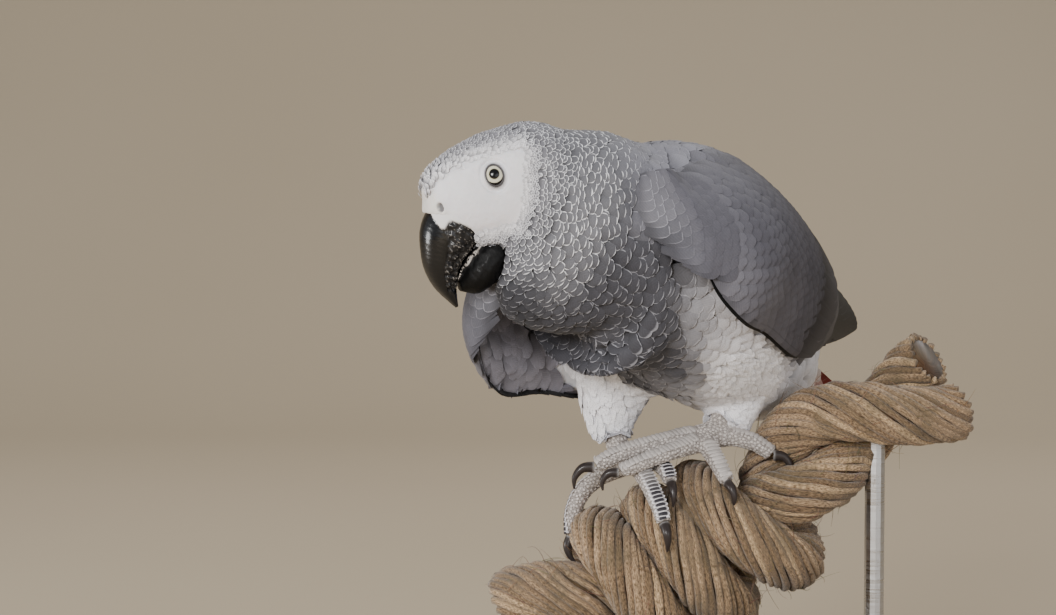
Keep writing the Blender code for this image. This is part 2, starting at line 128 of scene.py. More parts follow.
def axes(place):
    """A frame's three directions, as columns."""
    return np.array(place)[:3, :3]


def ramp(value, start, end):
    """A smooth step from 0 at start to 1 at end."""
    share = np.clip((value - start) / (end - start), 0, 1)
    return share * share * (3 - 2 * share)


def norm(vectors):
    return np.linalg.norm(vectors, axis=-1)


def unit(vectors):
    return vectors / np.maximum(np.linalg.norm(vectors, axis=-1, keepdims=True), 1e-12)


def flattened(vectors, normals):
    """The directions of vectors laid flat on surfaces with these normals."""
    return unit(vectors - normals * (vectors * normals).sum(axis=1, keepdims=True))


def blend(first, second, share):
    share = np.asarray(share)[..., None]
    return first * (1 - share) + second * share


def shade(*levels):
    """A colour given in eight-bit display levels, as linear light."""
    values = np.stack(np.broadcast_arrays(*levels), axis=-1) / 255
    return np.where(values <= 0.04045, values / 12.92, ((values + 0.055) / 1.055) ** 2.4)


def circle(count):
    """Angles evenly round a whole turn."""
    return np.linspace(0, math.tau, count, endpoint=False)


def running(steps):
    """A running total of steps, from 0."""
    return np.concatenate([[0], np.cumsum(steps)])


def run_along(path):
    """How far along a path each of its points is."""
    return running(norm(np.diff(path, axis=0)))


def smooth_rows(rows, count):
    """Rows resampled on a smooth curve through all of them."""
    rows = np.array(rows, float)
    last = len(rows) - 1
    place = np.linspace(0, last, count)
    index = np.minimum(place.astype(int), last - 1)
    t = (place - index)[:, None]
    before, start = rows[np.maximum(index - 1, 0)], rows[index]
    end, after = rows[index + 1], rows[np.minimum(index + 2, last)]
    return 0.5 * (
        2 * start
        + (end - before) * t
        + (2 * before - 5 * start + 4 * end - after) * t * t
        + (3 * start - before - 3 * end + after) * t**3
    )


# ---- pieces ----
def placed(name, data):
    """An object in the scene."""
    made = bpy.data.objects.new(name, data)
    bpy.context.scene.collection.objects.link(made)
    return made


def finished(piece, surface, slot, *nodes):
    """The piece smooth, with its finish, riding on the bird in place of its nodes."""
    piece.data.materials.append(surface)
    piece.data.shade_smooth()
    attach(piece, "root")
    if nodes:
        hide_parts(*nodes)
    return piece


def mesh_piece(name, points, faces, surface, slot, *nodes):
    mesh = bpy.data.meshes.new(name)
    mesh.from_pydata(points.tolist(), [], faces)
    return finished(placed(name, mesh), surface, slot, *nodes)


def mesh_values(mesh, what="co"):
    """A mesh's vertex places or normals as an array."""
    values = np.zeros(len(mesh.vertices) * 3)
    mesh.vertices.foreach_get(what, values)
    return values.reshape(-1, 3)


def give_colour(obj, name, colours):
    layer = obj.data.color_attributes.new(name, "FLOAT_COLOR", "POINT")
    values = np.ones((len(colours), 4))
    values[:, :3] = colours
    layer.data.foreach_set("color", values.ravel())


def give_vector(obj, name, vectors):
    layer = obj.data.attributes.new(name, "FLOAT_VECTOR", "POINT")
    layer.data.foreach_set("vector", np.asarray(vectors, float).ravel())


def give_map(obj, name, places):
    """A UV map from a place for each vertex."""
    layer = obj.data.uv_layers.new(name=name)
    corners = np.zeros(len(obj.data.loops), int)
    obj.data.loops.foreach_get("vertex_index", corners)
    layer.data.foreach_set("uv", places[corners].ravel())


def applied(obj, kind, **settings):
    """The object with one modifier made and applied."""
    bpy.ops.object.select_all(action="DESELECT")
    bpy.context.view_layer.objects.active = obj
    obj.select_set(True)
    modifier = obj.modifiers.new(kind.title(), kind)
    for key, value in settings.items():
        setattr(modifier, key, value)
    bpy.ops.object.modifier_apply(modifier=modifier.name)
    return obj


def merged_copy(node, swell=0.0):
    """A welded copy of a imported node's mesh, moved outwards by a distance."""
    shape = bmesh.new()
    shape.from_mesh(frame["nodes"][node].data)
    bmesh.ops.remove_doubles(shape, verts=shape.verts, dist=0.02 * MM)
    shape.normal_update()
    for vert, normal in [(vert, vert.normal.copy()) for vert in shape.verts]:
        vert.co += normal * swell
    mesh = bpy.data.meshes.new(node)
    shape.to_mesh(mesh)
    shape.free()
    return mesh


def capped(rings, ends, across, along):
    """A closed tube's points, faces and map from its rings and its two end points."""
    rows, sides = rings.shape[:2]
    grid = np.arange(rows * sides).reshape(rows, sides)
    onward = np.roll(grid, -1, axis=1)
    quads = np.stack([grid[:-1], onward[:-1], onward[1:], grid[1:]], axis=-1).reshape(-1, 4)
    first = [(int(b), int(a), rows * sides) for a, b in zip(grid[0], onward[0])]
    last = [(int(a), int(b), rows * sides + 1) for a, b in zip(grid[-1], onward[-1])]
    uv = np.stack(np.broadcast_arrays(across, along), axis=-1).reshape(-1, 2)
    points = np.concatenate([rings.reshape(-1, 3), ends])
    return points, quads.tolist() + first + last, np.concatenate([uv, [[0.5, 0], [0.5, 1]]])


def carried_frames(path, lean=(0.3, 0.5, 0.81)):
    """Forward, sideways and upward directions carried along a path without spin."""
    ahead = unit(np.gradient(path, axis=0))
    side, sides = np.cross(ahead[0], lean), []
    for direction in ahead:
        side = unit(side - direction * (side @ direction))
        sides.append(side)
    return ahead, np.array(sides), np.cross(ahead, sides)


def surface_tree(names):
    shape = bmesh.new()
    for name in names:
        shape.from_mesh(merged_copy(name))
    tree = BVHTree.FromBMesh(shape)
    shape.free()
    return tree


def reach_to(tree, points):
    """Each point's distance from a surface."""
    return np.array([tree.find_nearest(point)[3] for point in points.tolist()])


# ---- materials ----
class Shading:
    """A node material that is built one node at a time."""

    def __init__(self, name, **settings):
        self.material = bpy.data.materials.new(name)
        self.material.use_nodes = True
        self.tree = self.material.node_tree
        self.shader = self.tree.nodes["Principled BSDF"]
        for socket, value in settings.items():
            self.shader.inputs[socket.replace("_", " ")].default_value = value

    def node(self, kind, settings=None, **inputs):
        made = self.tree.nodes.new("ShaderNode" + kind)
        for key, value in (settings or {}).items():
            setattr(made, key, value)
        for key, value in inputs.items():
            socket = made.inputs[int(key[1:]) if key[0] == "_" else key.replace("_", " ")]
            if isinstance(value, bpy.types.NodeSocket):
                self.tree.links.new(value, socket)
            elif hasattr(value, "__len__") and len(value) == 3 and socket.type == "RGBA":
                socket.default_value = (*value, 1)
            else:
                socket.default_value = value
        return made

    def math(self, operation, first, second=0.0, third=0.0):
        settings = {"operation": operation}
        return self.node("Math", settings, _0=first, _1=second, _2=third).outputs[0]

    def times(self, first, second):
        return self.math("MULTIPLY", first, second)

    def times_plus(self, first, second, third):
        return self.math("MULTIPLY_ADD", first, second, third)

    def range(self, value, start, end, low=0.0, high=1.0):
        settings = {"interpolation_type": "SMOOTHSTEP"}
        made = self.node("MapRange", settings, Value=value, _1=start, _2=end, _3=low, _4=high)
        return made.outputs[0]

    def mix(self, share, first, second, kind="MIX"):
        settings = {"data_type": "RGBA", "blend_type": kind}
        made = self.node("Mix", settings, _0=share, _6=first, _7=second)
        return made.outputs[2]

    def place(self):
        return self.node("TexCoord").outputs["Object"]

    def noise(self, scale, detail=3.0, rough=0.55, vector=None, stretch=None):
        vector = vector or self.place()
        if stretch:
            vector = self.node("Mapping", Vector=vector, Scale=stretch).outputs[0]
        made = self.node("TexNoise", Vector=vector, Scale=scale, Detail=detail, Roughness=rough)
        return made.outputs[0]

    def aside(self, value):
        """How far a map's value is from its middle, from 0 to 1."""
        return self.math("ABSOLUTE", self.times_plus(value, 2.0, -1.0))

    def drawn_out(self, across, wide, along, long):
        """A map's place stretched into grain."""
        sizes = {"X": self.times(across, wide), "Y": self.times(along, long)}
        return self.node("CombineXYZ", Z=0.0, **sizes).outputs[0]

    def lit(self, colour, light):
        """The finish's colour, darkened by a number."""
        grey = self.node("CombineXYZ", X=light, Y=light, Z=light).outputs[0]
        self.colour(self.mix(1.0, colour, grey, "MULTIPLY"))

    def colour(self, value):
        self.link(value, "Base Color")

    def attribute(self, name, output="Color"):
        return self.node("Attribute", {"attribute_name": name}).outputs[output]

    def uv(self, name):
        found = self.node("UVMap", {"uv_map": name}).outputs[0]
        return self.node("SeparateXYZ", Vector=found).outputs[:2]

    def bump(self, height, strength, distance):
        made = self.node("Bump", Height=height, Strength=strength, Distance=distance)
        self.tree.links.new(made.outputs[0], self.shader.inputs["Normal"])

    def link(self, value, socket):
        self.tree.links.new(value, self.shader.inputs[socket])


def feather_material(name, rough, barb=0.10, covered_shade=0.62):
    """A vane: its own colour, a rim, a shaft, barbs, and painted shade on its covered part, towards the root.
    """
    s = Shading(name, Roughness=rough, Specular_IOR_Level=0.2, Sheen_Weight=0.05)
    across, along = s.uv("Vane")
    size = s.node("SeparateXYZ", Vector=s.attribute("size", "Vector"))
    length, half_width, rim = size.outputs
    aside = s.aside(across)
    side_mm = s.times(aside, half_width)
    to_side = s.math("SUBTRACT", half_width, side_mm)
    to_tip = s.times(s.math("SUBTRACT", 1.0, along), length)
    inside = s.math("SMOOTH_MIN", to_side, to_tip, 0.3)
    share = s.math("DIVIDE", inside, rim)
    grain = s.noise(220.0, 2.0)
    share = s.math("ADD", share, s.times_plus(grain, -1.0, 0.5))
    edge = s.range(share, 0.45, 1.25, 1.0, 0.0)
    edge = s.times(edge, s.range(along, 0.42, 0.82))
    colour = s.mix(edge, s.attribute("base"), s.attribute("rim"))
    run = s.times(along, length)
    slant = s.times_plus(side_mm, -0.8, run)
    phase = s.times_plus(grain, 5.0, s.times(slant, 5.4))
    barbs = s.math("SINE", phase)
    fleck = s.noise(900.0, 2.0)
    light = s.times_plus(barbs, barb * 0.5, 1.0)
    light = s.times_plus(s.math("SUBTRACT", fleck, 0.5), barb * 3, light)
    # painted shade: each vane darkens towards its root, where the vane above covers it
    covered = s.range(along, 0.35, 0.8, covered_shade, 1.0)
    light = s.times(light, covered)
    shaft = s.range(side_mm, 0.12, 0.34, 1.0, 0.0)
    large = s.range(length, 14.0, 26.0)
    light = s.times_plus(s.times(shaft, large), -0.22, light)
    s.lit(colour, light)
    s.bump(s.times_plus(shaft, -0.6, barbs), 0.16, 0.12 * MM)
    return s.material


def skin_material():
    """Bare powdery skin in the face, plain under the coat."""
    under = dict(Subsurface_Weight=0.08, Subsurface_Radius=(0.004, 0.002, 0.0015), Subsurface_Scale=0.5)
    s = Shading("bare_skin", Roughness=0.62, Specular_IOR_Level=0.3, **under)
    mottle = s.noise(260.0, 4.0)
    fine = s.noise(1500.0, 3.0, 0.65)
    light = s.times_plus(mottle, 0.16, 0.92)
    s.lit(s.attribute("base"), light)
    s.bump(s.times_plus(fine, 0.6, mottle), 0.35, 0.25 * MM)
    return s.material


# ---- markings: colour by place, for skin and coat alike ----
FACE_WHITE = shade(232, 230, 233)
CERE_CREAM = shade(226, 222, 216)
CROWN_GREY = shade(132, 131, 137)
CROWN_RIM = shade(226, 226, 230)
NECK_GREY = shade(104, 104, 109)
NECK_RIM = shade(238, 238, 242)
BREAST_GREY = shade(67, 67, 73)
BREAST_RIM = shade(136, 136, 143)
BELLY_GREY = shade(200, 199, 206)
BELLY_RIM = shade(220, 219, 226)
THIGH_PALE = shade(236, 235, 240)
THIGH_RIM = shade(240, 240, 244)
BACK_GREY = shade(124, 123, 131)
BACK_RIM = shade(140, 139, 147)
RUMP_PALE = shade(176, 176, 182)
COVERT_LILAC = shade(134, 132, 142)
WING_SLATE = shade(66, 65, 71)
QUILL_DARK = shade(15, 15, 16)
TAIL_RED = shade(150, 22, 16)
TAIL_RIM = shade(110, 12, 12)
VENT_PALE = shade(214, 208, 210)
VENT_PINK = shade(206, 150, 148)
BROW_PALE = shade(186, 185, 190)

FACE_MIDDLE = np.array((0, 5, -5))  # in the head's frame
THIGH_LINES = np.array((  # x, y, z and radius down each thigh, in the perch's frame
    [(15, 6, 112, 26), (22, 6, 92, 21), (21, 5, 74, 14.5), (16, 3, 58, 10.5), (13, 1, 50, 8)],
    [(-25, 6, 106, 26), (-30, 6, 86, 23.5), (-31, 6, 69, 17.5), (-32, 6, 56, 10.8), (-32, 6, 47, 7.4)],
))


def face_depth(head):
    """Millimetres inside the edge of the bare white face; negative in the feathers."""
    x, y, z = head.T
    wobble = 0.5 * np.sin(0.9 * y + 0.5 * z) * np.cos(0.7 * z - 0.3 * x)
    top = np.interp(y, [-28, -24, -20, -14, -8, 0, 12], [-3, 1.5, 6.0, 8.8, 10.0, 10.5, 10.2])
    back = np.interp(z, [-20, -18.5, -14.6, -6.6, 1.7, 5.9, 9.7], [2, 3.3, 6.4, 9.5, 11.8, 14.0, 12.4])
    return np.minimum(np.minimum(top - z, back - y), z + 20.2) + wobble


def leg_share(points):
    """How far points are on a thigh, from 0 on the trunk to 1."""
    x, y, z = local(PERCH, points).T
    share = ramp(x, -3, 11) * ramp(x, 40, 32) * ramp(z, 96, 82) * ramp(y, 10, 2) * ramp(z, 44, 48)
    for rows in THIGH_LINES:
        across, ahead, radius = (np.interp(-z, -rows[:, 2], rows[:, i]) for i in (0, 1, 3))
        off = np.hypot(x - across, y - ahead) - radius
        top = rows[1, 2]
        share = np.maximum(share, ramp(off, 6, 1.5) * ramp(z, top + 4, top - 8))
    return share


def markings(points):
    """The coat's own colour and its rims' colour at world points, with painted shade on the throat and on the
    belly's right side.
    """
    head, (x, y, z) = local(HEAD, points), local(BODY, points).T
    from_face = norm(head - FACE_MIDDLE)
    front = ramp(z, 16, -8) * (1 - ramp(y, -88, -78) * ramp(z, -24, -12) * ramp(np.abs(x), 5, 14))
    border = np.interp(
        -z, [10, 18, 22, 26, 33, 38.7, 44.2, 47.7, 51.2], [-28, -36, -42, -48, -50, -44, -35, -26, -4]
    )
    # ramp(x, -24, 10) is painted shade: the belly's right side, between the legs, stays breast grey
    low = ramp(y - border, -18, 14) * ramp(z, -10, -20) * ramp(x, -24, 10)
    low = np.maximum(low, ramp(y, 0, 26) * ramp(z, 0, -20))
    legs = np.maximum(leg_share(points), ramp(y, 22, 50) * ramp(z, 4, -18))
    # painted shade: the throat under the bill is painted darker than the breast
    throat_shade = ramp(head[:, 2], -32, -44) * ramp(head[:, 1], 14, -4)
    layers = [
        (front, BREAST_GREY, BREAST_RIM),
        (low, BELLY_GREY, BELLY_RIM),
        (legs, THIGH_PALE, THIGH_RIM),
        (ramp(y, 36, 66) * ramp(z, 0, 14), RUMP_PALE, BELLY_RIM),
        (ramp(from_face, 57, 43), NECK_GREY, NECK_RIM),
        (ramp(from_face, 32, 20), CROWN_GREY, CROWN_RIM),
        (throat_shade, BREAST_GREY * 0.6, BREAST_RIM * 0.8),
    ]
    for side in SIDES:  # feathers that lie over a wing's bend are the wing's colour
        place = in_wing(side, points)
        along, share, _ = wing_place(place)
        over = ramp(np.abs(place[:, 0] - wing_shell(along, share)[:, 0]), 6, 3)
        over = over * ramp(np.abs(share), 1.2, 0.95) * ramp(along, -68, -60) * (along < 60)
        tone = wing_tone(along, share)
        layers.append((over, tone, tone * 1.13))
    own, rim = BACK_GREY, BACK_RIM
    for share, own_tone, rim_tone in layers:
        own, rim = blend(own, own_tone, share), blend(rim, rim_tone, share)
    own = blend(own, BROW_PALE, ramp(head[:, 1], -8, -22) * ramp(from_face, 40, 32))
    pale = ramp(face_depth(head), -3.6, 0.6) * (from_face < 40)
    return blend(own, FACE_WHITE * 0.92, pale), blend(rim, FACE_WHITE, pale)


def wing_markings(side):
    """The wing coverts' colours: lilac grey in front, slate behind, dark inside."""

    def paint(points):
        y, share, inner = wing_place(in_wing(side, points))
        lilac = COVERT_LILAC * ramp(y, 60, -10)[:, None] * 0.95
        own = blend(wing_tone(y, share), lilac, inner * ramp(y, -60, -45) * (y < 30))
        return own, own * 1.13

    return paint


# ---- the outline, its rows and its lie ----
FLESH = ["head", "neck", "trunk", "thigh_left", "thigh_right"]
SWELL = 0.45 * MM  # the solids grow by this before they are merged, and the outline is drawn back
OUTLINE_CELL = 1.5 * MM
FOOT_CELL = 0.55 * MM


def outer_shell(points, normals, faces):
    """Only the vertices and faces that join up with the highest vertex."""
    links = defaultdict(set)
    for face in faces:
        for vert in face:
            links[vert].update(face)
    start = int(points[:, 2].argmax())
    found, edge = {start}, [start]
    while edge:
        fresh = links[edge.pop()] - found
        found |= fresh
        edge.extend(fresh)
    kept = sorted(found)
    index = {old: new for new, old in enumerate(kept)}
    faces = [tuple(index[vert] for vert in face) for face in faces if face[0] in index]
    return points[kept], normals[kept], faces


def form_of(points, normals, faces):
    """An outline that feathers can be laid on, with its triangles and their search tree."""
    tris = np.array([(f[0], f[i], f[i + 1]) for f in faces for i in range(1, len(f) - 1)])
    tree = BVHTree.FromPolygons(points.tolist(), tris.tolist())
    return SimpleNamespace(points=points, normals=normals, faces=faces, tris=tris, tree=tree)


def remeshed(obj, size, rounds):
    """The object as one even closed surface, with its points, normals and faces."""
    applied(obj, "REMESH", mode="VOXEL", voxel_size=size)
    applied(obj, "SMOOTH", factor=0.5, iterations=rounds)
    faces = [tuple(face.vertices) for face in obj.data.polygons]
    return mesh_values(obj.data), mesh_values(obj.data, "normal"), faces


def grown_form():
    """The bird's outline as one closed mesh, with the eye sockets filled."""
    shape = bmesh.new()
    for name in [*FLESH, "wing_left", "wing_right"]:
        shape.from_mesh(merged_copy(name, SWELL))
    for sign in SIDES.values():
        centre = HEAD @ Matrix.Translation(Vector((sign * EYE_SET, 0, 0)) * MM)
        radius = EYE_RADIUS * MM + SWELL
        bmesh.ops.create_icosphere(shape, subdivisions=3, radius=radius, matrix=centre)
    mesh = bpy.data.meshes.new("outline")
    shape.to_mesh(mesh)
    shape.free()
    obj = placed("outline", mesh)
    points, normals, faces = remeshed(obj, OUTLINE_CELL, 5)
    bpy.data.objects.remove(obj)
    return form_of(*outer_shell(points - normals * SWELL, normals, faces))


def vertex_normals(points, tris):
    a, b, c = (points[tris[:, i]] for i in range(3))
    face = np.cross(b - a, c - a)
    total = np.zeros_like(points)
    for i in range(3):
        np.add.at(total, tris[:, i], face)
    return unit(total)


def sunk(form, points, rounds):
    """How far below their smoothed surroundings points are."""
    return ((eased_over(form, points, rounds) - points) * form.normals).sum(axis=1)


def settled_form(form, soft, filled):
    """The outline smoothed where one mask asks for it, its creases filled under the other."""
    points = blend(form.points, eased_over(form, form.points, 150), soft)
    rise = eased_over(form, np.clip(sunk(form, points, 260), 0, 8 * MM) * filled, 8)
    points = points + form.normals * rise[:, None]
    return form_of(points, vertex_normals(points, form.tris), form.faces)


def near_links(form):
    """For each vertex, the vertices up to two faces away."""
    first = [set() for _ in form.points]
    for face in form.faces:
        for vert in face:
            first[vert].update(face)
    return [set().union(*(first[near] for near in ring)) for ring in first]


def travel(form, links, density, sources):
    """The cost of the cheapest way to each vertex from the sources."""
    points, cost = form.points.tolist(), [math.inf] * len(form.points)
    density = density.tolist()
    heap = [(float(start), int(vert)) for vert, start in sources]
    for start, vert in heap:
        cost[vert] = start
    heapq.heapify(heap)
    while heap:
        so_far, vert = heapq.heappop(heap)
        if so_far > cost[vert]:
            continue
        here, weight = points[vert], density[vert]
        for other in links[vert]:
            step = math.dist(here, points[other]) * (weight + density[other]) / 2
            if so_far + step < cost[other]:
                cost[other] = so_far + step
                heapq.heappush(heap, (so_far + step, other))
    return np.array(cost)


def eased_over(form, values, rounds):
    """Values averaged with their neighbours'."""
    pairs = np.concatenate([form.tris[:, [0, 1]], form.tris[:, [1, 2]], form.tris[:, [2, 0]]])
    pairs = np.concatenate([pairs, pairs[:, ::-1]])
    count = len(values)
    share = np.maximum(np.bincount(pairs[:, 0], minlength=count), 1)
    columns = [np.asarray(part, float) for part in values.reshape(count, -1).T]
    for _ in range(rounds):
        columns = [
            0.5 * part + 0.5 * np.bincount(pairs[:, 0], part[pairs[:, 1]], minlength=count) / share
            for part in columns
        ]
    return np.stack(columns, axis=1).reshape(values.shape)


def slope(form, values):
    """The direction in which a field grows, at each vertex."""
    a, b, c = (form.points[form.tris[:, i]] for i in range(3))
    normal = np.cross(b - a, c - a)
    area = np.maximum((normal**2).sum(1, keepdims=True), 1e-18)
    fa, fb, fc = (values[form.tris[:, i]][:, None] for i in range(3))
    grad = (fa * np.cross(normal, c - b) + fb * np.cross(normal, a - c) + fc * np.cross(normal, b - a)) / area
    total = np.zeros_like(form.points)
    for i in range(3):
        np.add.at(total, form.tris[:, i], grad * np.sqrt(area))
    return flattened(total, form.normals)


def contour_links(form, field, mask):
    """For each whole-number contour of a field, its edge crossings and what each joins."""
    tris = form.tris[mask[form.tris].all(axis=1)]
    values = field[tris]
    low, high = np.ceil(values.min(axis=1)), np.floor(values.max(axis=1))
    contours = defaultdict(lambda: defaultdict(list))
    for index in np.nonzero(high >= low)[0]:
        corners, here = tris[index].tolist(), values[index].tolist()
        for level in range(int(low[index]), int(high[index]) + 1):
            crossed = [
                tuple(sorted((corners[i], corners[j])))
                for i, j in ((0, 1), (1, 2), (2, 0))
                if (here[i] - level) * (here[j] - level) < 0
            ]
            if len(crossed) == 2:
                contours[level][crossed[0]].append(crossed[1])
                contours[level][crossed[1]].append(crossed[0])
    return contours


def chains(links):
    """Runs of joined crossings, those with loose ends first."""
    left = set(links)
    starts = sorted(key for key in links if len(links[key]) == 1)
    while left:
        chain = [next((key for key in starts if key in left), None) or min(left)]
        left.discard(chain[0])
        while onward := [key for key in links[chain[-1]] if key in left]:
            chain.append(onward[0])
            left.discard(onward[0])
        if len(chain) >= 3:
            yield np.array(chain)


def between(kept, ends, share):
    """What is kept for the vertices, read a share of the way along edges."""
    share = share.reshape(-1, *[1] * (kept.ndim - 1))
    return kept[ends[:, 0]] * (1 - share) + kept[ends[:, 1]] * share


def contour_roots(form, field, mask, step, jitter):
    """Places along the whole-number contours of a field, a step apart.

    Each place is two edge crossings and a share between them, so that any value
    kept for the vertices can be read there.
    """
    found = []
    for level, links in sorted(contour_links(form, field, mask).items()):
        for ends in chains(links):
            t = (level - field[ends[:, 0]]) / (field[ends[:, 1]] - field[ends[:, 0]])
            gap, run = between(step, ends, t), run_along(between(form.points, ends, t))
            tally = running(np.diff(run) / np.maximum((gap[1:] + gap[:-1]) / 2, 1e-6))
            count = int(tally[-1])
            if count < 1:
                continue
            marks = (np.arange(count) + 0.25 + 0.5 * (level % 2)) * tally[-1] / count
            marks = np.clip(marks + RANDOM.uniform(-jitter, jitter, count), 0, tally[-1] - 1e-6)
            spot = np.minimum(np.searchsorted(tally, marks, side="right") - 1, len(ends) - 2)
            share = (marks - tally[spot]) / np.maximum(tally[spot + 1] - tally[spot], 1e-9)
            found.append((ends[spot], t[spot], ends[spot + 1], t[spot + 1], share, np.full(count, level)))
    first, t1, second, t2, share, levels = (np.concatenate(part) for part in zip(*found))

    def read(kept):
        s = share.reshape(-1, *[1] * (kept.ndim - 1))
        return between(kept, first, t1) * (1 - s) + between(kept, second, t2) * s

    return SimpleNamespace(read=read, count=len(share), level=levels)


# ---- vanes ----
def vane_template(columns, rows, blunt, widest=0.58):
    """Places across and along a vane, and how wide it is at each row."""
    across = np.linspace(-1, 1, columns)
    along = 1 - (1 - np.linspace(0, 1, rows)) ** 1.35
    width = np.where(
        along < widest,
        0.42 + 0.58 * np.sin(np.pi / 2 * along / widest),
        np.sqrt(np.maximum(1 - (np.maximum(along - widest, 0) / (1.045 - widest)) ** (2.0 + blunt), 0.0)),
    )
    return across, along, width


def laid_on(form, targets):
    """The nearest points of the outline, its smooth normals and a vertex beside each."""
    hits = [form.tree.find_nearest(point) for point in targets.reshape(-1, 3).tolist()]
    spots = np.array([hit[0] for hit in hits])
    corners = form.tris[[hit[2] for hit in hits]]
    a, b, c = (form.points[corners[:, i]] for i in range(3))
    whole = norm(np.cross(b - a, c - a))
    parts = np.stack(
        [norm(np.cross(p - spots, q - spots)) for p, q in ((b, c), (c, a), (a, b))],
        axis=1,
    ) / np.maximum(whole, 1e-15)[:, None]
    normals = (form.normals[corners] * parts[..., None]).sum(axis=1)
    shape = targets.shape
    return spots.reshape(shape), unit(normals).reshape(shape), corners[:, 0].reshape(shape[:-1])


def vane_set(template, count, ragged=0.0, patch=0.003, **values):
    """What a set of vanes is made from: the template, and each value for every vane.

    The values are length and half_width in mm, own and rim colour, rim_width in mm,
    unwrap, the root's place on the unwrap, and for shaped vanes their dome and twist.
    A vane's patch of the unwrap is patch across.
    """
    for key, value in values.items():
        value = np.asarray(value, float)
        values[key] = value if value.ndim else np.full(count, value)
    return SimpleNamespace(template=template, ragged=ragged, patch=patch, **values)


def row_widths(make):
    """Each vane's half width at each row, with ragged sides where asked for."""
    _, along, width = make.template
    half = make.half_width[:, None] * MM * width
    if make.ragged:
        half = half * (1 - make.ragged * RANDOM.random(half.shape) * (along > 0.4))
    return half[:, :, None, None]


def rounded(points, ahead, make):
    """Vanes whose tips are drawn back at the sides."""
    across, along, _ = make.template
    back = (make.length[:, None] * MM * 0.07 * along**8)[:, :, None, None]
    return points - unit(ahead)[:, :, None] * back * (across**2)[:, None]


def fitted(form, spines, normals, height, make):
    """The points of vanes bent over the outline at each row's height: vane, row, column, axis."""
    ahead = unit(np.gradient(spines, axis=1))
    side = unit(np.cross(ahead, normals))
    reach, u = row_widths(make), make.template[0][:, None]
    flat = spines[:, :, None] + side[:, :, None] * reach * u
    spots, over, _ = laid_on(form, flat)
    off = spots - flat
    far = np.linalg.norm(off, axis=-1, keepdims=True)
    spots = flat + off * np.minimum(1, 0.6 * reach / np.maximum(far, 1e-9))
    up = unit(over + normals[:, :, None])
    bend = make.dome[:, None, None, None] * (0.15 - u * u) + make.twist[:, None, None, None] * u
    return rounded(spots + up * (height[:, :, None, None] + bend * reach), ahead, make)


def domed(spines, normals, make):
    """The points of domed vanes along their spines: vane, row, column, axis."""
    ahead = np.gradient(spines, axis=1)
    side = unit(np.cross(ahead, normals))
    up = unit(np.cross(side, ahead))
    half, u = row_widths(make), make.template[0][:, None]
    twist = make.twist[:, None, None]
    side, up = side * np.cos(twist) + up * np.sin(twist), up * np.cos(twist) - side * np.sin(twist)
    rise = make.dome[:, None, None, None] * half * (0.15 - u * u)
    return rounded(spines[:, :, None] + side[:, :, None] * half * u + up[:, :, None] * rise, ahead, make)


def vane_piece(name, points, make, surface, slot, *nodes):
    """One joined mesh of closed vanes from their points."""
    across, along, _ = make.template
    count, rows, columns = points.shape[:3]
    each = rows * columns
    grid = np.arange(each).reshape(rows, columns)
    quads = np.stack([grid[:-1, :-1], grid[:-1, 1:], grid[1:, 1:], grid[1:, :-1]], axis=-1)
    under = np.stack([grid[1:, 0], grid[1:, -1], grid[:-1, -1], grid[:-1, 0]], axis=-1)
    quads = np.concatenate([quads.reshape(-1, 4), under])
    starts = (np.arange(count) * each)[:, None, None]
    faces = (quads[None] + starts).reshape(-1, 4).tolist()
    faces += (grid[0, ::-1][None] + starts[:, 0]).tolist() + (grid[-1][None] + starts[:, 0]).tolist()
    made = mesh_piece(name, points.reshape(-1, 3), faces, surface, slot, *nodes)
    made.data.set_sharp_from_angle(angle=math.radians(70))
    uv = np.stack(np.broadcast_arrays((across[None] + 1) / 2, along[:, None]), axis=-1).reshape(-1, 2)
    uv = np.tile(uv, (count, 1))
    give_map(made, "Vane", uv)
    bake = np.repeat(make.unwrap, each, axis=0) + (uv - 0.5) * np.array(make.patch)
    give_map(made, "OFBake", np.clip(bake, 0, 1))
    give_colour(made, "base", np.repeat(make.own, each, axis=0))
    give_colour(made, "rim", np.repeat(make.rim, each, axis=0))
    size = np.stack([make.length, make.half_width, make.rim_width], axis=1)
    give_vector(made, "size", np.repeat(size, each, axis=0))
    return made


def chosen(roots, keep):
    """The roots that a mask keeps."""
    read = roots.read
    return SimpleNamespace(read=lambda kept: read(kept)[keep], count=int(keep.sum()), level=roots.level[keep])


def coat_style(form, template, dome, ragged, **fields):
    """How a coat grows: each field is a number, or one for every vertex of the outline."""
    count = len(form.points)
    spread = {key: np.broadcast_to(np.asarray(value, float), count) for key, value in fields.items()}
    return SimpleNamespace(template=template, dome=dome, ragged=ragged, **spread)


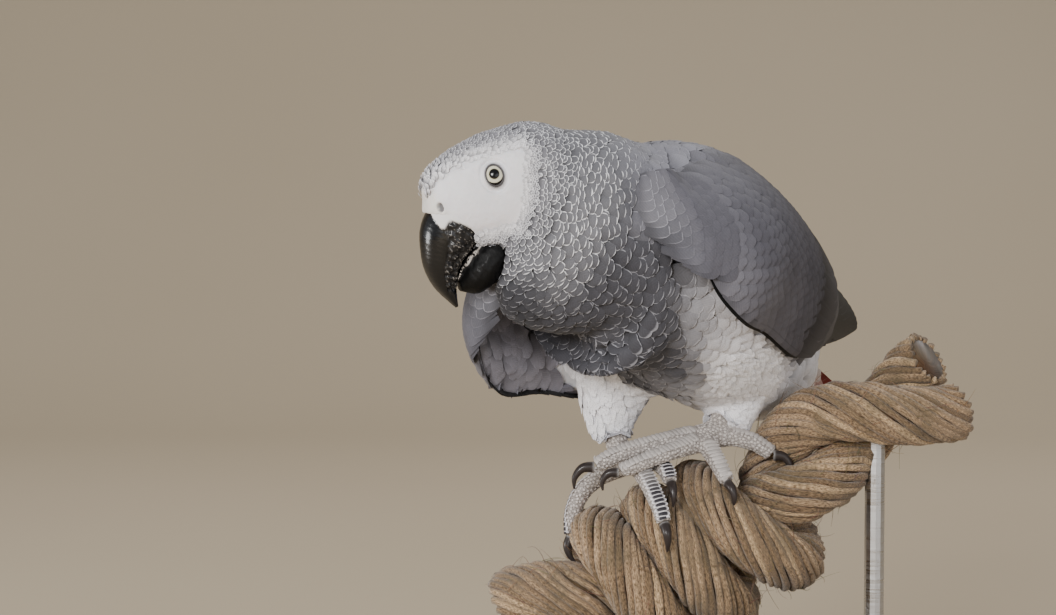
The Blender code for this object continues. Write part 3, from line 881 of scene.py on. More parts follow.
def coat(form, name, roots, style, surface, slot, *nodes, paint=markings):
    """Vanes over the outline from roots read at its vertices."""
    place = roots.read(form.points)
    pitch = roots.read(style.pitch) / MM
    length = pitch * roots.read(style.length)
    half_width = pitch * roots.read(style.width) / 2
    length *= RANDOM.uniform(0.86, 1.16, roots.count)
    half_width *= RANDOM.uniform(0.9, 1.1, roots.count)
    along = style.template[1]
    aim = roots.read(form.lie)
    loose = roots.read(style.loose)
    sideways = unit(np.cross(aim, roots.read(form.normals)))
    aim = unit(aim + sideways * (RANDOM.normal(0, 0.07, roots.count) * (1 + 2.5 * loose))[:, None])
    targets = place[:, None] + aim[:, None] * (length[:, None] * MM * along)[..., None]
    spines, normals, ground = laid_on(form, targets)
    kept = 1 - style.home[ground].mean(axis=1) <= 0.3
    if not kept.all():  # those that would stray onto another part's coat
        roots = chosen(roots, kept)
        pitch, length, half_width, loose = pitch[kept], length[kept], half_width[kept], loose[kept]
        spines, normals = spines[kept], normals[kept]
    depth = roots.read(style.depth)[:, None]
    stack = (roots.level % 2 * 0.04 + RANDOM.uniform(-0.05, 0.1, roots.count)) * np.minimum(pitch / 3, 1)
    proud = roots.read(style.lift) * RANDOM.uniform(0.5, 1.6, roots.count)
    height = -depth * (1 - along) ** 1.6 + (stack[:, None] + proud[:, None] * along**3) * MM
    own, rim = paint(spines[:, len(along) * 3 // 5])
    make = vane_set(
        style.template, roots.count, style.ragged, length=length, half_width=half_width, dome=style.dome,
        own=own * RANDOM.normal(1, 0.05, (roots.count, 1)),
        twist=RANDOM.normal(0, 0.03, roots.count) * (1 + 2 * np.maximum(loose, 0)),
        rim=rim * RANDOM.normal(1, 0.06, (roots.count, 1)),
        rim_width=roots.read(style.rim_width), unwrap=roots.read(form.unwrap),
    )
    if len(style.template[0]) > 5:
        points = fitted(form, spines, normals, height, make)
    else:
        points = domed(spines + normals * height[..., None], normals, make)
    return vane_piece(name, points, make, surface, slot, *nodes)


# ---- the skin ----
NOSTRIL = np.array((9.9, -22.4, -5.6))
LID_HALF = (3.2, 3.95)  # half width and half height of the opening between the lids
EYE_AIM = unit(np.array((0.965, -0.17, 0.16)))


def eye_axes(side):
    """The eye's centre and its outward, backward and upward directions, in the head."""
    out = EYE_AIM * np.array((side, 1, 1))
    back = unit(np.array((0, 1, 0)) - out * out[1])
    return np.array((side * EYE_SET, 0, 0)), out, back, np.cross(out, back) * side


def shaped_face(head):
    """Head-frame points with lids, nostrils and cere pressed into them, and their tones."""
    tone = np.zeros((len(head), 3))
    for side in (1, -1):
        centre, out, back, up = eye_axes(side)
        off = head - centre
        away, a, b = off @ out, off @ back, off @ up
        ring = np.hypot(a / LID_HALF[0], b / LID_HALF[1])
        facing = (away > 0) & (ring < 2.6)
        snap = np.where((ring > 0.8) & (ring < 1.04), 1.02 / np.maximum(ring, 1e-6), 1.0)
        a, b, ring = a * snap, b * snap, ring * snap
        ball = np.sqrt(np.maximum(EYE_RADIUS**2 - a * a - b * b, 0.0))
        lid = ball + 0.28 + 0.42 * np.exp(-(((ring - 1.16) / 0.13) ** 2))
        lid += 0.03 * np.sin(ring * 34) * ramp(ring, 1.25, 1.4)
        eased = ramp(ring, 1.18, 1.9)
        fold = 0.10 * np.exp(-(((ring - 1.52) / 0.07) ** 2)) * (0.6 + 0.4 * np.sign(b))
        set_to = np.where(ring < 1.0, ball - 1.3, lid * (1 - eased) + (away - fold) * eased)
        moved = centre + out * set_to[:, None] + back * a[:, None] + up * b[:, None]
        head = np.where(facing[:, None], moved, head)
        tone[:, 0] = np.where(facing, np.maximum(tone[:, 0], ramp(ring, 1.26, 1.1)), tone[:, 0])
        nostril = NOSTRIL * np.array((side, 1, 1))
        outward = unit(np.array((0.62 * side, -0.77, 0.12)))
        slot_up = unit(np.array((-0.1 * side, 0.12, 1.0)))
        off = head - nostril
        high = off @ slot_up
        wide = off @ unit(np.cross(outward, slot_up))
        near = np.hypot(wide / 1.15, high / 1.7)
        close = norm(off) < 7
        sink = -1.3 * ramp(near, 1.1, 0.75) + 0.34 * np.exp(-(((near - 1.5) / 0.34) ** 2))
        head = head + outward * (sink * close)[:, None]
        tone[:, 1] = np.maximum(tone[:, 1], ramp(near, 1.25, 0.85) * close)
    return head, tone


def refined_face(mesh):
    """The mesh with its faces round the bill and eyes cut finer."""
    shape = bmesh.new()
    shape.from_mesh(mesh)
    shape.verts.ensure_lookup_table()
    head = local(HEAD, mesh_values(mesh))
    fine = (head[:, 1] < 17) & (head[:, 2] > -27) & (norm(head) < 36)
    edges = [e for e in shape.edges if fine[e.verts[0].index] and fine[e.verts[1].index]]
    bmesh.ops.subdivide_edges(shape, edges=edges, cuts=2, use_grid_fill=True, smooth=0.0)
    bmesh.ops.triangulate(shape, faces=[f for f in shape.faces if len(f.verts) > 4])
    shape.to_mesh(mesh)
    shape.free()


def skin_tones(points, head, soft, tone):
    """The skin's colours: the coat's own under it, darkened as painted shade, bare white in the face, dark
    lids.
    """
    own, _ = markings(points)
    for side in SIDES:
        place = in_wing(side, points)
        y, chord, _ = wing_place(place)
        on = (np.abs(chord) < 1.1) & (y > -62) & (place[:, 0] > wing_shell(y, chord)[:, 0] - 7)
        own = np.where(on[:, None], wing_markings(side)(points)[0], own)
    cere = ramp(norm(head - np.array((0, -24, -7))), 13, 9)
    face = blend(FACE_WHITE, CERE_CREAM, cere)
    face = blend(face, shade(226, 214, 214), ramp(head[:, 2], -4, -18) * 0.25)
    # painted shade: under the coat the skin is the coat's own colour at three quarters, for the gaps between
    # vanes
    own = blend(own * 0.75, face, ramp(face_depth(head), -3.4, -1.6))
    own = blend(own, shade(58, 57, 60), tone[:, 0] * soft)
    return blend(own, shade(120, 118, 120), tone[:, 1] * soft)


def make_skin(form, surface):
    """One skin inside the coat, finer in the face, with lids, cere and nostrils."""
    mesh = bpy.data.meshes.new("skin")
    mesh.from_pydata((form.points - form.normals * form.depth[:, None]).tolist(), [], form.faces)
    refined_face(mesh)
    points = mesh_values(mesh)
    links = np.zeros(len(mesh.edges) * 2, int)
    mesh.edges.foreach_get("vertices", links)
    links = links.reshape(-1, 2)
    links = np.concatenate([links, links[:, ::-1]])
    head = local(HEAD, points)
    soft = (head[:, 1] < 16) & (head[:, 2] > -26) & (norm(head) < 35)
    share = np.bincount(links[:, 0], minlength=len(points))[:, None]
    for _ in range(8):
        total = np.zeros_like(points)
        np.add.at(total, links[:, 0], points[links[:, 1]])
        points = np.where(soft[:, None], 0.5 * points + 0.5 * total / share, points)
    head = local(HEAD, points)
    lumps = np.array([noise.noise(Vector(p) * 0.9) for p in head[soft].tolist()])
    head[soft] += unit(head[soft] - FACE_MIDDLE) * (0.10 * lumps)[:, None]
    shaped, tone = shaped_face(head)
    points = np.where(soft[:, None], world(HEAD, shaped), points)
    mesh.vertices.foreach_set("co", points.ravel())
    mesh.update()
    skin = placed("skin", mesh)
    give_colour(skin, "base", skin_tones(points, head, soft, tone))
    return finished(skin, surface, "head_white", *FLESH)


# ---- eyes ----
def eye_material():
    s = Shading("eye", Roughness=0.2, Specular_IOR_Level=0.25, Coat_Weight=0.25, Coat_Roughness=0.04)
    across, along = s.uv("Iris")
    reach = s.times(along, 5.6)
    rays = s.noise(2.2, 3.0, 0.6, vector=s.drawn_out(across, 60.0, along, 3.0))
    iris = s.mix(rays, shade(196, 190, 160), shade(244, 240, 222))
    inner = s.range(reach, 1.85, 2.25)
    iris = s.mix(inner, shade(150, 144, 118), iris)
    pupil = s.range(reach, 1.78, 1.9, 1.0, 0.0)
    colour = s.mix(pupil, iris, (0.002, 0.002, 0.002))
    limb = s.range(reach, 3.05, 3.3)
    s.colour(s.mix(limb, colour, shade(26, 24, 24)))
    return s.material


def make_eye(side, surface):
    """An eyeball with a raised clear front, turned round its own axis."""
    centre, out, back, up = eye_axes(SIDES[side])
    out = unit(out + 0.1 * up)
    up = unit(up - out * (up @ out))
    angle = np.linspace(0, math.pi, 41)[1:-1, None, None]
    turn = circle(64)[:, None]
    bulge = EYE_RADIUS + 0.3 * np.exp(-((angle / 0.5) ** 2))
    rim = back * np.cos(turn) + up * np.sin(turn)
    rings = centre + bulge * (out * np.cos(angle) + rim * np.sin(angle))
    poles = [centre + out * (EYE_RADIUS + 0.3), centre - out * EYE_RADIUS]
    reach = np.where(angle < math.pi / 2, np.sin(angle), 1.0)
    points, faces, uv = capped(rings, poles, (0.5 + 0.5 * np.sin(turn))[..., 0], reach[..., 0])
    if side == "left":
        faces = [face[::-1] for face in faces]
    name = f"eye_{side}"
    eye = mesh_piece(name + "_ball", world(HEAD, points), faces, surface, "eye", name)
    give_map(eye, "Iris", uv)


def lid_material():
    s = Shading("lid_rim", Roughness=0.45, Specular_IOR_Level=0.4)
    grain = s.noise(1200.0, 2.0)
    s.colour(s.mix(grain, shade(40, 38, 40), shade(92, 88, 90)))
    s.bump(grain, 0.3, 0.1 * MM)
    return s.material


def make_lids(side, surface):
    """A beaded ring round the opening, seated on the eyeball."""
    centre, out, back, up = eye_axes(SIDES[side])
    spokes, sides, beads = 72, 10, 36
    turn = circle(spokes)[:, None, None]
    around = circle(sides)[:, None]
    a, b = LID_HALF[0] * np.cos(turn), LID_HALF[1] * np.sin(turn)
    middle = centre + out * (np.sqrt(EYE_RADIUS**2 - a * a - b * b) + 0.34) + back * a + up * b
    thick = 0.3 * (1 + 0.10 * np.cos(beads * turn))
    points = middle + thick * (unit(back * a + up * b) * np.cos(around) + out * np.sin(around))
    grid = np.arange(spokes * sides).reshape(spokes, sides)
    over, beside = np.roll(grid, -1, axis=0), np.roll(grid, -1, axis=1)
    faces = np.stack([grid, over, np.roll(over, -1, axis=1), beside], axis=-1).reshape(-1, 4)
    if side == "right":
        faces = faces[:, ::-1]
    mesh_piece(f"lid_{side}", world(HEAD, points.reshape(-1, 3)), faces.tolist(), surface, "head_white")


# ---- bill ----
UPPER_ROWS = [  # y and z of the top, y and z of the bottom, half width
    (-16, -3, -4, -15, 10.4),
    (-24.6, -6, -8, -21.5, 12.0),
    (-29.6, -12.2, -13.5, -25.4, 10.8),
    (-31.8, -20, -17.9, -28.6, 9.0),
    (-32.4, -27.5, -20.8, -32.4, 7.2),
    (-30.4, -35.6, -22.8, -37.6, 4.8),
    (-24.8, -44.6, -23.9, -44.3, 0.8),
]
LOWER_ROWS = [
    (1, -22, 2, -32, 7.6),
    (-6, -20.8, -3, -36, 10.6),
    (-13, -25, -9.5, -40.2, 11.0),
    (-17.8, -29, -15.5, -41.8, 9.0),
    (-21.0, -34, -21.4, -39.2, 4.0),
]


def bill_shell(name, rows, squareness, relief, surface, count=110, sides=96):
    """A mandible lofted along its curve, with relief(t, turn, points) in mm pushed outwards."""
    t = np.linspace(0, 1, count)[:, None]
    turn = circle(sides)[None]
    y1, z1, y2, z2, half = smooth_rows(rows, count).T[..., None]
    sine, cosine = np.sin(turn), np.cos(turn)
    x = np.sign(sine) * np.abs(sine) ** (2 / squareness) * half
    y = (y1 + y2) / 2 + (y1 - y2) / 2 * cosine
    z = (z1 + z2) / 2 + (z1 - z2) / 2 * cosine
    points = np.stack(np.broadcast_arrays(x, y, z), axis=-1)
    along, around = np.gradient(points, axis=0), np.roll(points, -1, 1) - np.roll(points, 1, 1)
    normal = unit(np.cross(around, along))
    middle = points.mean(axis=1, keepdims=True)
    normal *= np.sign((normal * (points - middle)).sum(-1, keepdims=True) + 1e-9)
    lift, wear, cere = relief(t, turn, points)
    points = points + normal * lift[..., None]
    points, faces, uv = capped(points, points[[0, -1]].mean(axis=1), turn / math.tau, t)
    made = mesh_piece(name + "_shell", world(HEAD, points), faces, surface, "horn_black", name)
    shape = bmesh.new()
    shape.from_mesh(made.data)
    bmesh.ops.recalc_face_normals(shape, faces=shape.faces)
    shape.to_mesh(made.data)
    shape.free()
    tone = np.stack([wear, np.broadcast_to(cere, wear.shape), wear * 0], axis=-1).reshape(-1, 3)
    give_colour(made, "wear", np.concatenate([tone, np.zeros((2, 3))]))
    give_map(made, "Horn", uv)


def rough_at(points, scale, layers=3):
    flat = points.reshape(-1, 3)
    values = [noise.fractal(Vector(p) * scale, 1.0, 2.0, layers) for p in flat.tolist()]
    return np.array(values).reshape(points.shape[:-1])


def upper_relief(t, turn, points):
    """A glossy front, and behind a pale seam on each side a rough flaking plate."""
    x, y, z = np.moveaxis(points, -1, 0)
    seam_y = np.interp(-z, [8, 13, 18.4, 25, 28.3, 35, 41], [-22.6, -22.5, -23.0, -25.2, -27.0, -27.6, -26.6])
    behind = y - seam_y
    plate = ramp(behind, -0.1, 0.4) * ramp(z, -39.5, -36.5) * ramp(np.abs(x), 0.8, 2.0)
    seam = np.exp(-((behind / 0.34) ** 2)) * ramp(z, -21, -17) * ramp(np.abs(x), 2, 4)
    flakes, fine = rough_at(points, 0.42, 4), rough_at(points, 1.6, 3)
    ridge = np.exp(-((np.minimum(turn, math.tau - turn) / 0.22) ** 2))
    edge = np.exp(-(((np.abs(np.cos(turn / 2)) - 0.3) / 0.09) ** 2)) * plate
    groove = np.exp(-(((behind - 0.5) / 0.3) ** 2)) * plate
    lift = plate * (-0.25 + 1.0 * flakes + 0.45 * fine) + 0.3 * seam - 0.35 * groove
    lift = lift + 0.2 * ridge * ramp(t, 0.05, 0.3) + 0.02 * np.sin(t * 150 + flakes * 3) * (1 - plate)
    flecks = plate * ramp(fine + 0.5 * flakes, 0.34, 0.52)
    tone = np.clip(np.maximum(np.maximum(seam, flecks * 0.55), 0.7 * edge * ramp(fine, -0.1, 0.2)), 0, 1)
    front = np.interp(np.abs(x), [0, 1.9, 5.5, 8.2, 10.0], [-3.6, -4.9, -8.0, -10.4, -13.4])
    side = np.interp(y, [-22.6, -21.2, -19.6, -16.2, -11.1], [-13.4, -11.9, -11.6, -13.9, -18.7])
    cere = ramp(z - np.where(y < -22.4, front, side) + 0.3 * fine, -0.25, 0.25)
    lift = lift * (1 - cere) + 0.5 * cere
    return lift, np.clip(0.42 * plate + 0.58 * tone, 0, 1) * (1 - cere), cere


def lower_relief(t, turn, points):
    """A matte scoop with a thin, chipped, pale upper edge."""
    flakes, fine = rough_at(points, 0.35, 3), rough_at(points, 1.5, 3)
    beside = np.minimum(turn, math.tau - turn)
    line = np.exp(-(((beside - 0.58 - 0.12 * flakes) / 0.11) ** 2))
    chips = ramp(fine + 0.4 * flakes, -0.5, -0.15) * ramp(t, 0.03, 0.12)
    lip = ramp(beside, 0.8, 0.4) * ramp(t, 0.05, 0.3)
    lift = 0.22 * flakes + 0.07 * fine + 0.3 * line * chips + 0.8 * lip
    return lift, np.clip(0.12 + 0.86 * line * chips, 0, 1), 0.0


def horn_material(name, rough, coat_weight, dull_rough, dark=(5, 5, 6), light=(18, 17, 19)):
    """Dark horn whose wear attribute makes it pale and dull."""
    shine = 0.18 + 0.5 * coat_weight
    s = Shading(name, Specular_IOR_Level=shine, Coat_Weight=coat_weight, Coat_Roughness=0.12)
    parts = s.node("SeparateColor", Color=s.attribute("wear"))
    wear, cere = parts.outputs[0], parts.outputs[1]
    across, along = s.uv("Horn")
    growth = s.noise(1.0, 3.0, 0.6, vector=s.drawn_out(across, 9.0, along, 60.0))
    scratch = s.noise(800.0, 4.0, 0.7, stretch=(1.0, 1.0, 0.25))
    base = s.mix(growth, shade(*dark), shade(*light))
    base = s.mix(s.range(wear, 0.1, 0.4, 0.0, 0.5), base, shade(26, 24, 25))
    worn = s.times(s.range(wear, 0.5, 0.95), s.range(scratch, 0.32, 0.6, 0.35, 1.0))
    horn = s.mix(worn, base, shade(196, 188, 180))
    s.colour(s.mix(cere, horn, shade(224, 221, 219)))
    gloss = s.range(s.times_plus(growth, 0.1, wear), 0.15, 0.45, rough, dull_rough)
    s.link(s.math("MAXIMUM", gloss, s.times(cere, 0.6)), "Roughness")
    s.link(s.range(cere, 0.0, 1.0, coat_weight, 0.0), "Coat Weight")
    s.bump(s.times_plus(scratch, 0.5, growth), 0.22, 0.14 * MM)
    return s.material


# ---- feet ----
TOES = {  # x, y, z and radius along each toe, in the perch's frame
    "left": [
        [
            (8, -4, 50.5, 5), (-3, -9, 49.5, 4.2), (-17, -14, 47.2, 3.7), (-30, -16, 43.5, 3.6),
            (-38, -17, 39.5, 3.1),
        ],
        [
            (6, -6, 49, 4.6), (-2, -14, 46.8, 3.8), (-12, -20, 44.2, 3.3), (-22, -22.5, 40.8, 3.2),
            (-28.5, -23, 38, 2.8),
        ],
        [(7, -4, 49.5, 4.8), (16, -4, 49.6, 4.0), (25, -5, 47.5, 3.6), (32, -6, 43, 3.2)],
        [(7, -6, 48.5, 4.6), (7, -14, 45.5, 3.8), (10, -21, 40.5, 3.4), (13, -26, 34.5, 3.0)],
    ],
    "right": [
        [
            (-26, 0, 38, 4.8), (-22, -12, 38.6, 3.9), (-18, -22, 34, 3.7), (-14, -30.5, 26, 3.5),
            (-12, -34.5, 19.5, 3.1),
        ],
        [(-24, -1, 38.5, 4.6), (-16, -9, 40.4, 3.6), (-11, -17, 38.4, 3.4), (-9, -23.5, 34, 3.0)],
        [(-27, 1, 37.5, 4.8), (-36, 3, 33, 3.9), (-43.5, 4, 26, 3.7), (-47, 4, 17, 3.4), (-47.5, 3, 9, 3.0)],
        [(-25, 1, 38, 4.6), (-21, 11, 37.6, 3.8), (-18, 19, 34.4, 3.5), (-16, 26, 29, 3.1)],
    ],
}
CLAWS = {  # the same along each claw
    "left": [
        [(-39, -17.1, 39, 2.3), (-43.5, -17.6, 38.6, 1.9), (-46.5, -18, 35, 1.25), (-46.8, -18, 30.5, 0.4)],
        [(-29.5, -23, 37.6, 2.0), (-33.4, -23.2, 37.2, 1.7),
         (-35.8, -23.4, 34.2, 1.1), (-35.6, -23.4, 30.6, 0.4)],
        [(33, -6.2, 42.4, 2.3), (36.8, -6.8, 41.8, 1.9), (39.2, -7.4, 38.6, 1.25), (39, -8, 34.8, 0.4)],
        [(13.3, -26.8, 33.6, 2.0), (14.6, -29.6, 32.2, 1.7),
         (15.6, -30.6, 28.6, 1.1), (15.4, -29.4, 25, 0.4)],
    ],
    "right": [
        [(-11.8, -35, 18.6, 2.2), (-11, -37.6, 15.6, 1.85),
         (-10.6, -37.4, 11.6, 1.2), (-10.8, -35.6, 8.2, 0.4)],
        [(-8.8, -24.2, 33.2, 2.0), (-8.2, -27.4, 31.6, 1.7),
         (-8, -28.8, 28.2, 1.1), (-8.2, -28.2, 24.8, 0.4)],
        [(-47.6, 2.9, 8.2, 2.2), (-49, 2.4, 4.6, 1.85), (-48.2, 1.6, 0.8, 1.2), (-45.8, 0.8, -2, 0.4)],
        [(-15.8, 26.8, 28.2, 2.1), (-15, 30, 26.6, 1.8), (-14.4, 31.8, 23, 1.15), (-14.4, 31.4, 19.4, 0.4)],
    ],
}


SCUTE_LENGTH = 2.15
SCUTE_GAP = 1.75
GRANULE_TRIES = 16000
GRANULE_GAP = 1.2 * MM


def swept(path, radii, sides, profile=None):
    """A closed tube along a path; profile(i, angles) scales its section."""
    count = len(path)
    _, across, up = carried_frames(path)
    angles = circle(sides)
    scale = np.ones((count, sides)) if profile is None else profile(np.arange(count), angles)
    reach = (radii[:, None] * scale)[..., None]
    rings = path[:, None] + reach * (
        across[:, None] * np.cos(angles)[:, None] + up[:, None] * np.sin(angles)[:, None]
    )
    return capped(rings, path[[0, -1]], angles / math.tau, np.linspace(0, 1, count)[:, None])


def joined(parts):
    """Several meshes' points, faces and further arrays as one."""
    points, faces, rest, start = [], [], [], 0
    for part in parts:
        points.append(part[0])
        faces += [tuple(index + start for index in face) for face in part[1]]
        rest.append(part[2:])
        start += len(part[0])
    return (np.concatenate(points), faces, *(np.concatenate(group) for group in zip(*rest)))


def make_claws(surface):
    def grooved(_, angles):
        return 1 + 0.05 * np.cos(angles * 2)[None] + 0.02 * np.cos(angles * 7)[None]

    for side in SIDES:
        for number, rows in enumerate(CLAWS[side], 1):
            fine = smooth_rows(rows, 30)
            points, faces, uv = swept(world(PERCH, fine[:, :3]), fine[:, 3] * MM * 1.02, 20, grooved)
            name = f"claw_{side}_{number}"
            made = mesh_piece(name + "_horn", points, faces, surface, "horn_black", name)
            give_map(made, "Horn", uv)
            give_colour(made, "wear", np.repeat(ramp(uv[:, 1], 0.12, 0.0)[:, None] * 0.3, 3, axis=1))


def scale_material():
    """Toe scales: pale rims round darker, granular middles."""
    s = Shading("foot_scales", Roughness=0.6, Specular_IOR_Level=0.35)
    across, along = s.uv("Vane")
    aside = s.aside(across)
    ahead = s.aside(along)
    edge = s.range(s.math("MAXIMUM", aside, ahead), 0.55, 0.9)
    colour = s.mix(edge, s.attribute("base"), s.attribute("rim"))
    grain = s.noise(1400.0, 3.0, 0.65)
    light = s.times_plus(grain, 0.4, 0.8)
    s.lit(colour, light)
    s.bump(grain, 0.4, 0.12 * MM)
    return s.material


def toe_skin_material():
    s = Shading("toe_skin", Roughness=0.66, Specular_IOR_Level=0.3)
    cells = s.node("TexVoronoi", {"feature": "DISTANCE_TO_EDGE"}, Vector=s.place(), Scale=1150.0)
    # painted shade: the creases between the skin's cells are darker
    crease = s.range(cells.outputs[0], 0.0, 0.14)
    mottle = s.noise(240.0, 3.0)
    colour = s.mix(mottle, shade(150, 143, 139), shade(182, 175, 170))
    s.colour(s.mix(crease, shade(122, 114, 110), colour))
    s.bump(crease, 0.7, 0.2 * MM)
    return s.material


def make_foot(side, skin_surface, scale_surface):
    """The foot's skin from its solid, with scutes down each toe and granules elsewhere."""
    name = f"foot_{side}"
    foot = placed(name + "_skin", merged_copy(name))
    form = form_of(*remeshed(foot, FOOT_CELL, 6))
    swell = 0.10 * np.array([noise.noise(Vector(p) * 0.5) for p in local(PERCH, form.points).tolist()])
    foot.data.vertices.foreach_set("co", (form.points + form.normals * (swell * MM)[:, None]).ravel())
    foot.data.materials.clear()
    finished(foot, skin_surface, "foot_grey", name)
    paths = [smooth_rows(rows, 60) for rows in TOES[side]]
    spines, halves = make_scutes(name, form, paths, side == "right", scale_surface)
    make_granules(name, form, paths, spines, halves, scale_surface)


def make_scutes(name, form, paths, dark, surface):
    """One row of scutes along each toe's back, wrapped over it."""
    found = []
    for number, path in enumerate(paths):
        run = run_along(path[:, :3])
        for mark in np.arange(7.0 if number else 8.0, run[-1] - 0.3, SCUTE_GAP):
            before, spot, after = (
                np.array([np.interp(place, run, path[:, i]) for i in range(4)])
                for place in (mark - 0.5, mark, mark + 0.5)
            )
            ahead = unit(after[:3] - before[:3])
            outward = unit(spot[:3] - np.array((spot[0] * 0.9, 0, spot[0] * 0.45)))
            outward = unit(outward - ahead * (outward @ ahead))
            found.append((*(spot[:3] + outward * spot[3]), *ahead, spot[3] * 0.86, mark / run[-1]))
    found = np.array(found)
    count, halves = len(found), found[:, 6]
    template = (np.linspace(-1, 1, 7), np.linspace(0, 1, 4), np.array([0.86, 1, 1, 0.82]))
    aims = found[:, 3:6] @ axes(PERCH).T
    targets = world(PERCH, found[:, :3])[:, None] + aims[:, None] * (SCUTE_LENGTH * MM * template[1])[:, None]
    spines, over, _ = laid_on(form, targets)
    lift = np.array([-0.12, 0.22, 0.26, 0.05]) * MM
    spines = spines + over * lift[None, :, None]
    shades = ramp(found[:, 7], 0.3, 0.75) * dark
    own = blend(shade(172, 166, 162), shade(52, 49, 54), shades)
    make = vane_set(
        template, count, patch=(0.01, 0.02), length=SCUTE_LENGTH, half_width=halves, dome=0.34, twist=0.0,
        own=own * RANDOM.normal(1, 0.08, (count, 1)), rim_width=0.4,
        rim=blend(shade(190, 184, 180), shade(226, 223, 226), shades),
        unwrap=np.stack([np.linspace(0.02, 0.98, count), np.full(count, 0.9)], axis=1),
    )
    vane_piece(name + "_scutes", domed(spines, over, make), make, surface, "foot_grey")
    return spines, halves


def scattered(form, tries, gap):
    """Places and normals strewn evenly over an outline, never closer than a gap."""
    corners = form.points[form.tris]
    area = norm(np.cross(corners[:, 1] - corners[:, 0], corners[:, 2] - corners[:, 0]))
    tries = RANDOM.choice(len(form.tris), tries, p=area / area.sum())
    mix = RANDOM.dirichlet((1, 1, 1), len(tries))
    spots = (corners[tries] * mix[..., None]).sum(axis=1)
    ups = unit((form.normals[form.tris[tries]] * mix[..., None]).sum(axis=1))
    kept, cells, around = [], defaultdict(list), list(itertools.product((-1, 0, 1), repeat=3))
    for index, spot in enumerate(spots.tolist()):
        x, y, z = (int(v // gap) for v in spot)
        near = (other for i, j, k in around for other in cells[x + i, y + j, z + k])
        if all(math.dist(spot, other) > gap for other in near):
            cells[x, y, z].append(spot)
            kept.append(index)
    return spots[kept], ups[kept]


def make_granules(name, form, paths, spines, halves, surface):
    """Small low domes on the foot, everywhere but on its scutes."""
    spots, ups = scattered(form, GRANULE_TRIES, GRANULE_GAP)
    shafts = spines[:, 1:3].mean(axis=1)
    off = np.array([np.min(norm(shafts - p) - halves * 0.7 * MM) for p in spots])
    spots, ups = spots[off > 0], ups[off > 0]
    place, count = local(PERCH, spots), int((off > 0).sum())
    centres = np.concatenate([path[:, :3] for path in paths])
    heading = np.concatenate([unit(np.gradient(path[:, :3], axis=0)) for path in paths])
    nearest = np.array([np.argmin(((centres - p) ** 2).sum(axis=1)) for p in place])
    ahead = heading[nearest] @ axes(PERCH).T
    ahead = flattened(ahead, ups)
    across, spots, ups = np.cross(ups, ahead)[:, None], spots[:, None], ups[:, None]
    spokes = 6
    turn = circle(spokes)[:, None]
    radius = RANDOM.uniform(0.60, 0.70, (count, 1, 1)) * MM
    outer = spots + radius * (ahead[:, None] * np.cos(turn) * 1.1 + across * np.sin(turn)) - ups * 0.05 * MM
    inner = spots + (outer - spots) * 0.62 + ups * 0.12 * MM
    domes = np.concatenate([outer, inner, spots + ups * 0.17 * MM], axis=1)
    each = 2 * spokes + 1
    around = [(i, (i + 1) % spokes) for i in range(spokes)]
    own_faces = [(i, j, spokes + j, spokes + i) for i, j in around]
    own_faces += [(spokes + i, spokes + j, 2 * spokes) for i, j in around] + [tuple(range(spokes))[::-1]]
    faces = [tuple(base + v for v in face) for base in range(0, count * each, each) for face in own_faces]
    granules = mesh_piece(name + "_granules", domes.reshape(-1, 3), faces, surface, "foot_grey")
    rim = 0.5 + 0.5 * np.concatenate([np.cos(turn), np.sin(turn)], axis=1)
    uv = np.concatenate([rim, 0.5 + (rim - 0.5) * 0.5, [[0.5, 0.5]]])
    give_map(granules, "Vane", np.tile(uv, (count, 1)))
    unwrap = (place[:, :2] - place[:, :2].min(axis=0)) / np.ptp(place[:, :2], axis=0) * 0.98 + 0.01
    give_map(granules, "OFBake", np.repeat(unwrap, each, axis=0) + np.tile((uv - 0.5) * 0.006, (count, 1)))
    tint = RANDOM.normal(1, 0.07, (count, 1))
    give_colour(granules, "base", np.repeat(shade(196, 189, 184) * tint, each, axis=0))
    give_colour(granules, "rim", np.repeat(shade(168, 160, 155) * tint, each, axis=0))


# ---- ropes ----
def rope_axis(x):
    """The shared centre line of the two ropes, at x along the perch."""
    climb = 20 * MM * ramp(x - 12 * MM, 0, 46 * MM)
    return Vector((x, 0, 0.5 * x + climb + max(-x, 0) * 1.5 * -x))


def rope_routes(steps=2400):
    """The centre lines of the straighter rope and of the one that winds round it."""
    start, end = PERCH_REACH
    pitch = 2 * ROPE_RADIUS + 1.6 * CLEARANCE
    knot = (KNOT_SHIFT - pitch * KNOT_TURNS / 2, KNOT_SHIFT + pitch * KNOT_TURNS / 2)
    apart = 2 * ROPE_RADIUS + CLEARANCE
    core, winding = [], []
    angle = math.radians(-30)
    for i in range(steps + 1):
        x = start + (end - start) * i / steps
        outside = max(knot[0] - x, x - knot[1], 0)
        loose = ramp(outside, 0, 14 * MM)
        ahead, behind = rope_axis(x + MM), rope_axis(x - MM)
        slant = (ahead.z - behind.z) / (2 * MM)
        upright = Vector((-slant, 0, 1)).normalized()
        spoke = Vector((0, 1, 0)) * math.sin(angle) - upright * math.cos(angle)
        middle = rope_axis(x) - spoke * apart * loose / 2
        core.append(PERCH @ middle)
        winding.append(PERCH @ (middle + spoke * apart))
        step = (end - start) / steps * math.sqrt(1 + slant * slant)
        angle += math.tau * step / (pitch + (TWIST_PITCH - pitch) * loose)
    return np.array(core), np.array(winding)


def evenly(path, gap):
    run = run_along(path)
    marks = np.linspace(0, run[-1], max(int(run[-1] / gap), 2) + 1)
    return np.stack([np.interp(marks, run, path[:, i]) for i in range(3)], axis=1)


